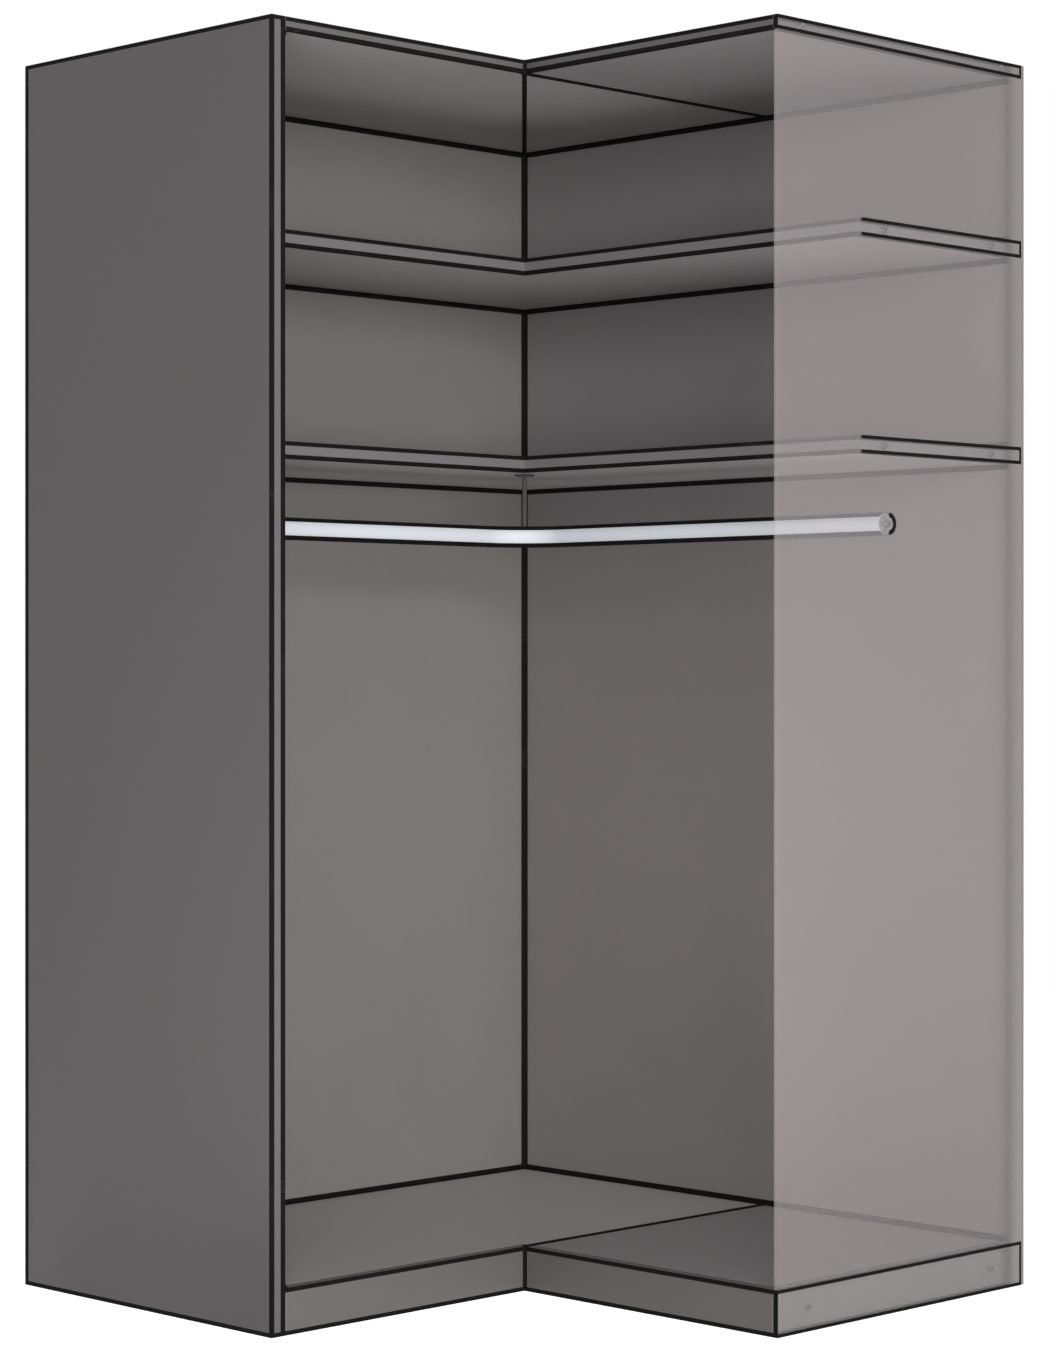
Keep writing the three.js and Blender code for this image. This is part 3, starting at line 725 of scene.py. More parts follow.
@dataclass(frozen=True)
class SheetFinish(Finish):
    """A see-through grey sheet with a faint frost, and a film of painted light and shade on its outer face
    along the rear edge.
    """

    tint: float
    film: Colour
    film_tint: float
    film_from: float
    film_before: float
    fade: float = 35 * MM
    spread: float = 0.008
    pearls: float = 1100.0
    refraction: float = 1.49
    shine: float = 0.3

    relief: ClassVar[float] = 0.0005 * MM

    def wire(self, wiring: Wiring, shader: bpy.types.Node) -> None:
        """Frosts the sheet, lets most of what is behind it through and lays the film over it.

        Args:
            wiring: The material's nodes.
            shader: Its shader.
        """
        # The film's grey stands in for the sheet's lit tone over the back panel, painting over its contact
        # shadow and lit arris.
        axes = wiring.node("ShaderNodeSeparateXYZ")
        wiring.feed(axes.inputs["Vector"], wiring.place())
        fade_end = self.film_from + self.fade
        faded = wiring.span(axes.outputs["X"], self.film_from, fade_end, 0.0, self.film_tint)
        outside = wiring.math("LESS_THAN", axes.outputs["Y"], self.film_before)
        film = wiring.math("MULTIPLY", faded, outside)
        opaque = wiring.math("MULTIPLY_ADD", film, 1.0 - self.tint, self.tint)
        base = wiring.blend(wiring.math("DIVIDE", film, opaque), self.colour, self.film)
        surface = FineSurface.placed(
            wiring, Base=base, Dullness=self.dullness, Spread=self.spread, Pearls=self.pearls
        )
        clear = {"Alpha": opaque, "IOR": self.refraction, "Specular IOR Level": self.shine}
        wiring.feed_all(shader, clear)
        self.feed_shader(wiring, shader, surface["Colour"], surface["Roughness"], surface["Height"])


@dataclass(frozen=True)
class MetalFinish(Finish):
    """Plated steel, or aluminium under a clear satin coat."""

    metal: float = 1.0
    stretch: tuple[float, float, float] = (1.0, 1.0, 0.04)

    def wire(self, wiring: Wiring, shader: bpy.types.Node) -> None:
        """Draws fine lines along the metal.

        Args:
            wiring: The material's nodes.
            shader: Its shader.
        """
        brushed = Brushed.placed(
            wiring, Base=self.colour, Dullness=self.dullness, Stretch=self.stretch
        )
        wiring.feed(shader.inputs["Metallic"], self.metal)
        self.feed_shader(wiring, shader, brushed["Colour"], brushed["Roughness"], brushed["Height"])


@dataclass(frozen=True)
class PlasticFinish(Finish):
    """Moulded plastic or paint with a fine grain."""

    grains: float = 1300.0
    spread: float = 0.16

    def wire(self, wiring: Wiring, shader: bpy.types.Node) -> None:
        """Gives the moulding its grain.

        Args:
            wiring: The material's nodes.
            shader: Its shader.
        """
        surface = FineSurface.placed(
            wiring, Base=self.colour, Dullness=self.dullness, Spread=self.spread, Pearls=self.grains
        )
        self.feed_shader(wiring, shader, surface["Colour"], surface["Roughness"], surface["Height"])


@dataclass(frozen=True)
class FlakeFinish(Finish):
    """Raw board or plain wood."""

    deep: Colour
    flakes: float

    relief: ClassVar[float] = 0.1 * MM

    def wire(self, wiring: Wiring, shader: bpy.types.Node) -> None:
        """Presses flakes of two browns together.

        Args:
            wiring: The material's nodes.
            shader: Its shader.
        """
        pressed = Flakes.placed(wiring, Pale=self.colour, Deep=self.deep, Flakes=self.flakes)
        self.feed_shader(wiring, shader, pressed["Colour"], self.dullness, pressed["Height"])


class Finishes:
    """Every finish of the wardrobe, each built once."""

    # The film reaches this far over the back panel so that its painted grey covers the panel's contact
    # shadow and lit arris.
    film_overlap: ClassVar[float] = 50.0 * MM

    def __init__(self) -> None:
        """Builds the materials."""
        self.boards()
        self.trim()
        self.fittings()

    def boards(self) -> None:
        """Builds the facings of the boards, with light and shade painted into their greys."""
        # Lit and shaded copies of one grey: undersides and floors paler as painted light, outer sides,
        # plinths and bands darker as painted shade.
        inside, under = screen_colour(114, 111, 109), screen_colour(163, 157, 158)
        upper, plain = screen_colour(116, 112, 112), screen_colour(96, 92, 93)
        self.side = BoardFinish(
            "side_board",
            inside,
            dullness=0.5,
            reverse=screen_colour(75, 71, 72),
            band=screen_colour(88, 84, 86),
            across=Across.X,
        ).material()
        self.shelf = BoardFinish(
            "shelf_board", upper, dullness=0.48, reverse=under, band=screen_colour(101, 97, 98)
        ).material()
        self.top_left = BoardFinish(
            "left_top_board", upper, dullness=0.5, reverse=under, band=screen_colour(85, 82, 82), dust=0.1
        ).material()
        self.top_right = BoardFinish(
            "right_top_board",
            upper,
            dullness=0.5,
            reverse=screen_colour(143, 137, 138),
            band=screen_colour(76, 73, 74),
            dust=0.1,
        ).material()
        # The floors are paler as painted light, the right floor less so than the left.
        self.floor_left = BoardFinish(
            "left_floor_board", screen_colour(166, 162, 160), dullness=0.46, reverse=plain, band=plain
        ).material()
        self.floor_right = BoardFinish(
            "right_floor_board", screen_colour(138, 132, 133), dullness=0.46, reverse=plain, band=plain
        ).material()
        # The backs' and plinths' front greys are painted light and shade too, the right plinth darker than
        # the left.
        uprights = (
            ("left_back", 0.56, inside, Across.Y),
            ("right_back", 0.56, screen_colour(115, 109, 110), Across.X),
            ("left_plinth", 0.5, screen_colour(92, 89, 88), Across.Y),
            ("right_plinth", 0.5, screen_colour(86, 82, 81), Across.X),
        )
        self.back_left, self.back_right, self.plinth_left, self.plinth_right = (
            BoardFinish(name, plain, dullness, reverse=front, band=plain, across=across).material()
            for name, dullness, front, across in uprights
        )

    def trim(self) -> None:
        """Builds the lines' lacquer and the see-through sheet."""
        self.seal = SealFinish(
            "edge_seal", screen_colour(17, 16, 16), dullness=0.75, rubbed=screen_colour(34, 33, 33)
        ).material()
        self.sheet = SheetFinish(
            "see_through_sheet",
            screen_colour(198, 190, 192),
            dullness=0.36,
            tint=0.16,
            # Painted light and shade: the tone that the sheet shows in this light over the back panel, which
            # hides the shadow behind the film.
            film=screen_colour(126, 120, 121),
            film_tint=0.97,
            film_from=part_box("back_panel_right")[1].x - self.film_overlap,
            film_before=sum(corner.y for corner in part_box("right_side_sheet")) / 2,
        ).material()

    def fittings(self) -> None:
        """Builds the finishes of the metal, the plastic, the raw board and the dowels."""
        self.tube = MetalFinish(
            "satin_tube", screen_colour(195, 198, 204), dullness=0.8, metal=0.1
        ).material()
        self.zinc = MetalFinish("zinc_plate", screen_colour(172, 174, 177), dullness=0.36).material()
        self.painted = PlasticFinish("painted_steel", screen_colour(56, 53, 54), dullness=0.85).material()
        self.fixing = PlasticFinish("painted_fixing", screen_colour(113, 108, 110), dullness=0.5).material()
        self.plastic = PlasticFinish("black_moulding", screen_colour(38, 38, 39), dullness=0.5).material()
        self.raw = FlakeFinish(
            "raw_board",
            screen_colour(186, 160, 122),
            dullness=0.85,
            deep=screen_colour(133, 108, 76),
            flakes=260.0,
        ).material()
        self.beech = FlakeFinish(
            "beech_wood",
            screen_colour(205, 170, 125),
            dullness=0.7,
            deep=screen_colour(178, 140, 96),
            flakes=900.0,
        ).material()


# Shapes


class Ends(Enum):
    """How the two ends of a drawn-out length are finished."""

    FLAT = "flat"
    OPEN = "open"
    JOINED = "joined"


class Skin:
    """The points and faces of one mesh, gathered length by length."""

    def __init__(self) -> None:
        """Starts with nothing."""
        self.points: list[Vector] = []
        self.faces: list[tuple[int, ...]] = []

    def loop(self, places: Iterable[Vector]) -> list[int]:
        """Adds a loop of points.

        Args:
            places: Where they are.

        Returns:
            Their numbers.
        """
        first = len(self.points)
        self.points.extend(places)
        return list(range(first, len(self.points)))

    def join(self, near: list[int], far: list[int]) -> None:
        """Adds the faces from one loop to the next, which meet in a tip where a loop is one point.

        Args:
            near: The first loop's points.
            far: The next loop's points.
        """
        count = max(len(near), len(far))
        for step in range(count):
            after = (step + 1) % count
            corners = [near[step % len(near)], near[after % len(near)]]
            corners += [far[after % len(far)], far[step % len(far)]]
            self.faces.append(tuple(dict.fromkeys(corners)))

    def draw_out(self, sections: Iterable[Iterable[Vector]], ends: Ends = Ends.FLAT) -> None:
        """Adds one length, drawn through a row of sections.

        Args:
            sections: The sections, with as many points each, or one point for a tip.
            ends: How the length ends.
        """
        loops = [self.loop(section) for section in sections]
        if ends is Ends.JOINED:
            loops.append(loops[0])
        for near, far in zip(loops, loops[1:], strict=False):
            self.join(near, far)
        if ends is Ends.FLAT:
            self.faces += [tuple(reversed(loops[0])), tuple(loops[-1])]

    def mesh(self, name: str, crease: float = CREASE) -> bpy.types.Mesh:
        """Makes the mesh, with its faces outwards and smooth between its creases.

        Args:
            name: The mesh's name.
            crease: The angle above which an edge stays sharp.

        Returns:
            The mesh.
        """
        mesh = bpy.data.meshes.new(name)
        mesh.from_pydata(self.points, [], self.faces)
        work = bmesh.new()
        work.from_mesh(mesh)
        bmesh.ops.recalc_face_normals(work, faces=work.faces)
        work.to_mesh(mesh)
        work.free()
        mesh.polygons.foreach_set("use_smooth", [True] * len(mesh.polygons))
        mesh.set_sharp_from_angle(angle=crease)
        return mesh


def made_mesh(name: str, work: bmesh.types.BMesh) -> bpy.types.Mesh:
    """Turns worked geometry into a mesh and frees it.

    Args:
        name: The mesh's name.
        work: The geometry, which can't be used afterwards.

    Returns:
        The mesh.
    """
    mesh = bpy.data.meshes.new(name)
    work.to_mesh(mesh)
    work.free()
    return mesh


class Section(Enum):
    """The outline of a turned piece at one place along it."""

    ROUND = "round"
    HEXAGON = "hexagon"
    CROSS = "cross"

    def reach(self, radius: float, angle: float) -> float:
        """How far the outline lies from the axis.

        Args:
            radius: The outline's largest radius.
            angle: The direction round the axis.

        Returns:
            The distance from the axis to the outline in that direction.
        """
        if self is Section.HEXAGON:
            sixth = FULL_TURN / 6
            off_flat = angle % sixth - sixth / 2
            return radius * math.cos(sixth / 2) / math.cos(off_flat)
        if self is Section.CROSS:
            arm_share, hair = 0.3, 1e-6
            long_side, short_side = sorted((abs(math.cos(angle)), abs(math.sin(angle))), reverse=True)
            end = radius / long_side
            return min(end, radius * arm_share / short_side) if short_side > hair else end
        return radius


@dataclass(frozen=True)
class Thread:
    """A screw thread cut into a shank."""

    pitch: float
    depth: float

    def cut(self, along: float, angle: float) -> float:
        """How deep the thread is at a place along the shank and round it."""
        turn = (along / self.pitch - angle / FULL_TURN) % 1.0
        return self.depth * abs(2 * turn - 1)


@dataclass(frozen=True)
class Ring:
    """One outline of a turned piece, so far along its axis. With no radius it is a tip."""

    along: float
    radius: float
    section: Section = Section.ROUND
    thread: Thread | None = None

    def outline(self, sides: int) -> list[Point2]:
        """The outline's points across the axis.

        Args:
            sides: How many points a full outline has.

        Returns:
            The points, each as two distances from the axis.
        """
        if self.radius == 0:
            return [(0.0, 0.0)]
        points = []
        for step in range(sides):
            angle = FULL_TURN * step / sides
            reach = self.section.reach(self.radius, angle)
            if self.thread is not None:
                reach -= self.thread.cut(self.along, angle)
            points.append((reach * math.cos(angle), reach * math.sin(angle)))
        return points


def threaded(start: float, end: float, radius: float, thread: Thread, steps: int = 6) -> list[Ring]:
    """The rings of a threaded shank.

    Args:
        start: Where the thread begins along the axis.
        end: Where it ends.
        radius: The radius over the thread's crests.
        thread: The thread.
        steps: How many rings each turn of the thread gets.

    Returns:
        Rings from the start to the end.
    """
    count = max(2, round((end - start) / thread.pitch * steps))
    return [Ring(start + (end - start) * step / count, radius, thread=thread) for step in range(count + 1)]


@dataclass(frozen=True)
class Turned:
    """A piece spun about an axis, from rings."""

    start: Vector
    direction: Vector
    rings: Sequence[Ring]
    sides: int

    def add_to(self, skin: Skin) -> None:
        """Adds the piece to a skin that other pieces may share.

        Args:
            skin: The skin.
        """
        across = self.direction.orthogonal().normalized()
        upward = self.direction.cross(across)
        sections = []
        for ring in self.rings:
            centre = self.start + self.direction * ring.along
            sections.append([centre + across * u + upward * v for u, v in ring.outline(self.sides)])
        skin.draw_out(sections, Ends.OPEN)


def turned_mesh(name: str, pieces: Iterable[Turned]) -> bpy.types.Mesh:
    """Makes one mesh of several turned pieces.

    Args:
        name: The mesh's name.
        pieces: The pieces.

    Returns:
        The mesh.
    """
    skin = Skin()
    for piece in pieces:
        piece.add_to(skin)
    return skin.mesh(name)


@dataclass(frozen=True)
class Screw:
    """A screw with a cross recess, countersunk or with a low round head."""

    start: Vector
    direction: Vector
    head: float
    head_depth: float
    shank: float
    length: float
    countersunk: bool = True

    recess_share: ClassVar[float] = 0.55
    recess_floor_share: ClassVar[float] = 0.45
    recess_depth_share: ClassVar[float] = 0.8
    lip_share: ClassVar[float] = 0.06
    pitch_share: ClassVar[float] = 0.84
    thread_depth_share: ClassVar[float] = 0.2
    tip_share: ClassVar[float] = 2.0
    sides: ClassVar[int] = 24

    def turned(self) -> Turned:
        """Spins the screw.

        Returns:
            The screw's rings, from its recess to its tip.
        """
        recess, lip = self.recess_share * self.head, self.lip_share * self.head
        depth = self.recess_depth_share * self.head_depth
        thread = Thread(self.pitch_share * self.shank, self.thread_depth_share * self.shank)
        neck = self.head_depth + lip
        rim = [] if self.countersunk else [Ring(self.head_depth, self.head)]
        rings = [
            Ring(depth, 0.0),
            Ring(depth, self.recess_floor_share * recess, Section.CROSS),
            Ring(0.0, recess, Section.CROSS),
            Ring(0.0, self.head - lip),
            Ring(lip, self.head),
            *rim,
            Ring(neck, self.shank),
            *threaded(neck + lip, self.length - self.tip_share * self.shank, self.shank, thread),
            Ring(self.length, 0.0),
        ]
        return Turned(self.start, self.direction, rings, self.sides)


@dataclass(frozen=True)
class Outline:
    """The plan of a board, as corners in order, anticlockwise from above."""

    corners: tuple[Point2, ...]

    @classmethod
    def of_box(cls, low: Vector, high: Vector) -> "Outline":
        """The plan of a plain board."""
        return cls(((low.x, low.y), (high.x, low.y), (high.x, high.y), (low.x, high.y)))

    @classmethod
    def of_notched(cls, low: Vector, high: Vector, notch: Point2) -> "Outline":
        """The plan of an L-shaped board whose inner corner is the notch."""
        x, y = notch
        return cls(((low.x, y), (x, y), (x, low.y), (high.x, low.y), (high.x, high.y), (low.x, high.y)))

    def edges(self) -> Iterable[tuple[int, int]]:
        """Each corner's number with the next one's."""
        count = len(self.corners)
        return ((index, (index + 1) % count) for index in range(count))

    def heading(self, index: int) -> Vector:
        """The direction of the side that starts at a corner."""
        here, there = self.corners[index], self.corners[(index + 1) % len(self.corners)]
        return (Vector(there) - Vector(here)).normalized()

    def turns_in(self, index: int) -> bool:
        """True at an inner corner."""
        before, after = self.heading(index - 1), self.heading(index)
        return before.x * after.y - before.y * after.x < 0

    def grown(self, distance: float) -> list[Vector]:
        """Moves the corners square to both of their sides.

        Args:
            distance: How far out they move, or in if it is negative.

        Returns:
            The moved corners.
        """
        moved = []
        for index, corner in enumerate(self.corners):
            before, after = self.heading(index - 1), self.heading(index)
            outward = Vector((before.y + after.y, -before.x - after.x))
            moved.append(Vector(corner) + outward * distance)
        return moved


@dataclass(frozen=True)
class EdgeSeal:
    """The sealed line round a board: a thin shell that wraps every arris, mitred at the corners."""

    outline: Outline
    low: float
    high: float
    bare_before: Point2
    lies: bool
    wide_corners: tuple[int, ...]
    level_width: float = 6.8 * MM
    upright_width: float = 5.5 * MM
    wide_width: float = 10.0 * MM
    proud: float = 0.1 * MM
    shell: float = 0.4 * MM
    rounding: float = 1.1 * MM

    rounding_steps: ClassVar[int] = 3
    arris_angle: ClassVar[float] = math.radians(60)
    same_place: ClassVar[float] = 0.001 * MM
    uprights: ClassVar[tuple[int, int]] = (1, 3)

    def mesh(self, name: str) -> bpy.types.Mesh:
        """Makes the shell's outer skin.

        Args:
            name: The name of the mesh.

        Returns:
            An open skin, which the piece's modifiers round and thicken.
        """
        outer = self.outline.grown(self.proud)
        inner = self.outline.grown(-self.level_width)
        stands = self.low < self.proud
        bottom, top = max(self.low - self.proud, 0.0), self.high + self.proud
        work = bmesh.new()
        for here, after in self.outline.edges():
            upward = (outer[here], outer[after], inner[after], inner[here])
            downward = (outer[after], outer[here], inner[here], inner[after])
            if self.lies:
                self.lay(work, ((place, top) for place in upward))
            if self.lies and not stands:
                self.lay(work, ((place, bottom) for place in downward))
            self.side(work, here, after, outer, (bottom, top))
        bmesh.ops.remove_doubles(work, verts=work.verts, dist=self.same_place)
        bmesh.ops.recalc_face_normals(work, faces=work.faces)
        return made_mesh(name, work)

    @staticmethod
    def lay(work: bmesh.types.BMesh, corners: Iterable[tuple[Vector, float]]) -> None:
        """Adds one face, from corners in plan with their heights."""
        work.faces.new([work.verts.new((place.x, place.y, height)) for place, height in corners])

    def side(
        self, work: bmesh.types.BMesh, here: int, after: int, outer: list[Vector], heights: Point2
    ) -> None:
        """Adds the strips on one narrow side: along its top and bottom, and up each outer corner.

        Args:
            work: The skin.
            here: The corner that the side starts from.
            after: The corner that it runs to.
            outer: The corners of the skin in plan.
            heights: The skin's bottom and top.
        """
        bottom, top = heights
        heading = self.outline.heading(here)
        near, far = outer[here], outer[after]
        near_in = near + heading * self.upright_inset(here)
        far_in = far - heading * self.upright_inset(after)
        rise = self.level_width + self.proud
        low_in, high_in = bottom + rise, top - rise
        frame_out = [(near, bottom), (far, bottom), (far, top), (near, top)]
        frame_in = [(near_in, low_in), (far_in, low_in), (far_in, high_in), (near_in, high_in)]
        for index, corner in enumerate(frame_out):
            beside = (index + 1) % len(frame_out)
            if index in self.uprights and corner[0] == frame_in[index][0]:
                continue
            self.lay(work, (corner, frame_out[beside], frame_in[beside], frame_in[index]))

    def upright_inset(self, corner: int) -> float:
        """How wide the line up a corner is.

        Args:
            corner: The corner.

        Returns:
            Its width, which is nothing at an inner corner and against either side of the wardrobe.
        """
        x, y = self.outline.corners[corner]
        if self.outline.turns_in(corner) or x < self.bare_before[0] or y < self.bare_before[1]:
            return 0.0
        return (self.wide_width if corner in self.wide_corners else self.upright_width) + self.proud

    def thicken(self, piece: bpy.types.Object) -> None:
        """Rounds the skin over the arris and gives it its thickness.

        Args:
            piece: The piece that has the skin.
        """
        arris = piece.modifiers.new("rounded_arris", "BEVEL")
        arris.width = self.rounding
        arris.segments = self.rounding_steps
        arris.limit_method = "ANGLE"
        arris.angle_limit = self.arris_angle
        shell = piece.modifiers.new("shell", "SOLIDIFY")
        shell.thickness = self.shell
        shell.offset = -1.0


@dataclass(frozen=True)
class Bead:
    """A straight bead of sealant in an inside corner, with a hollow face."""

    start: Vector
    end: Vector
    first: Vector
    second: Vector
    leg: float = 8.5 * MM
    bury: float = 0.2 * MM
    steps: int = 4

    def profile(self) -> list[Point2]:
        """Draws the bead's section.

        Returns:
            Its corners, as distances along its two walls.
        """
        hollow = []
        for step in range(self.steps + 1):
            angle = QUARTER_TURN * step / self.steps
            hollow.append((self.leg * (1 - math.sin(angle)), self.leg * (1 - math.cos(angle))))
        return [(-self.bury, -self.bury), (self.leg, -self.bury), *hollow, (-self.bury, self.leg)]

    def add_to(self, skin: Skin) -> None:
        """Adds the bead to a skin that other beads share."""
        profile = self.profile()
        skin.draw_out(
            [end + self.first * u + self.second * v for u, v in profile] for end in (self.start, self.end)
        )


# Sub-assemblies


def inner_corner(node: str) -> Point2:
    """The inner corner of an L-shaped node, read from the ends of its two arms.

    Args:
        node: The node's name.

    Returns:
        The corner in plan.
    """
    low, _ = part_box(node)
    near = 2 * MM
    corners = [vertex.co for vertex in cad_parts[node].data.vertices]
    x = min(corner.x for corner in corners if corner.y < low.y + near)
    y = min(corner.y for corner in corners if corner.x < low.x + near)
    return x, y


def under_middle(node: str) -> Vector:
    """The middle of the underside of a node's box."""
    low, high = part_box(node)
    return Vector(((low.x + high.x) / 2, (low.y + high.y) / 2, low.z))


@dataclass
class SubAssembly(ABC):
    """Pieces that are dressed together and ride on one body."""

    finishes: Finishes
    body: str = "carcass"

    broken_edge_steps: ClassVar[int] = 2
    broken_edge_angle: ClassVar[float] = math.radians(50)

    @abstractmethod
    def build(self) -> None:
        """Makes and dresses the sub-assembly's pieces."""

    def dress(self, node: str, material: bpy.types.Material) -> bpy.types.Object:
        """Gives a CAD node its finish.

        Args:
            node: The node's name.
            material: Its finish.

        Returns:
            The node's object.
        """
        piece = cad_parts[node]
        for material_slot in piece.material_slots:
            material_slot.material = material
        log.info("%s: finished as %s", node, material.name)
        return piece

    def soften(self, piece: bpy.types.Object, width: float) -> None:
        """Breaks a piece's sharp edges.

        Args:
            piece: The piece.
            width: How wide the broken edge is.
        """
        edge = piece.modifiers.new("broken_edge", "BEVEL")
        edge.width = width
        edge.segments = self.broken_edge_steps
        edge.limit_method = "ANGLE"
        edge.angle_limit = self.broken_edge_angle
        edge.use_clamp_overlap = True

    def add(
        self,
        name: str,
        mesh: bpy.types.Mesh,
        material: bpy.types.Material,
        slot: Slot,
        replaced: Sequence[str] = (),
        body: str | None = None,
    ) -> bpy.types.Object:
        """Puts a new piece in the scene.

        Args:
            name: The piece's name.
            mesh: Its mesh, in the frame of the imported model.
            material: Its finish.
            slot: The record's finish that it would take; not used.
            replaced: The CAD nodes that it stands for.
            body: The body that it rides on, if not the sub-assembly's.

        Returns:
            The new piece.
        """
        piece = in_scene(name, mesh)
        piece.data.materials.append(material)
        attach(piece, body or self.body)
        if replaced:
            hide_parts(*replaced)
        log.info("%s: %d faces, finished as %s", name, len(mesh.polygons), material.name)
        return piece

    def add_seal(self, name: str, skin: Skin) -> bpy.types.Object:
        """Puts a piece of the dark line in the scene."""
        return self.add(name, skin.mesh(name), self.finishes.seal, Slot.BOARD)


@dataclass
class Boards(SubAssembly):
    """The carcass boards, with the seal on each board's arrises."""

    notched: tuple[str, ...] = ("upper_shelf", "lower_shelf")
    unsealed: tuple[str, ...] = ("floor_board_left", "floor_board_right")
    wide_corners_of_side: tuple[int, ...] = (1, 3)
    side_gap: float = 1 * MM

    def build(self) -> None:
        """Dresses each board and seals its edges."""
        finishes = self.finishes
        boards = {
            "left_side_panel": finishes.side,
            "top_board_left": finishes.top_left,
            "top_board_right": finishes.top_right,
            "back_panel_left": finishes.back_left,
            "back_panel_right": finishes.back_right,
            "plinth_left": finishes.plinth_left,
            "plinth_right": finishes.plinth_right,
            "plinth_end_right": finishes.plinth_left,
            "floor_board_left": finishes.floor_left,
            "floor_board_right": finishes.floor_right,
            "upper_shelf": finishes.shelf,
            "lower_shelf": finishes.shelf,
        }
        for node, material in boards.items():
            self.dress(node, material)
            if node not in self.unsealed:
                self.seal(node)
        self.dress("right_side_sheet", finishes.sheet)

    def seal(self, node: str) -> None:
        """Wraps one board's arrises in the dark line.

        Args:
            node: The board's node.
        """
        low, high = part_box(node)
        if node in self.notched:
            outline = Outline.of_notched(low, high, inner_corner(node))
        else:
            outline = Outline.of_box(low, high)
        is_side = node == "left_side_panel"
        beside_panel = low.x if is_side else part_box("left_side_panel")[1].x + self.side_gap
        beside_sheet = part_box("right_side_sheet")[1].y + self.side_gap
        line = EdgeSeal(
            outline,
            low.z,
            high.z,
            bare_before=(beside_panel, beside_sheet),
            lies=not node.startswith("plinth"),
            wide_corners=self.wide_corners_of_side if is_side else (),
        )
        name = f"{node}_seal"
        line.thicken(self.add(name, line.mesh(name), self.finishes.seal, Slot.BOARD))


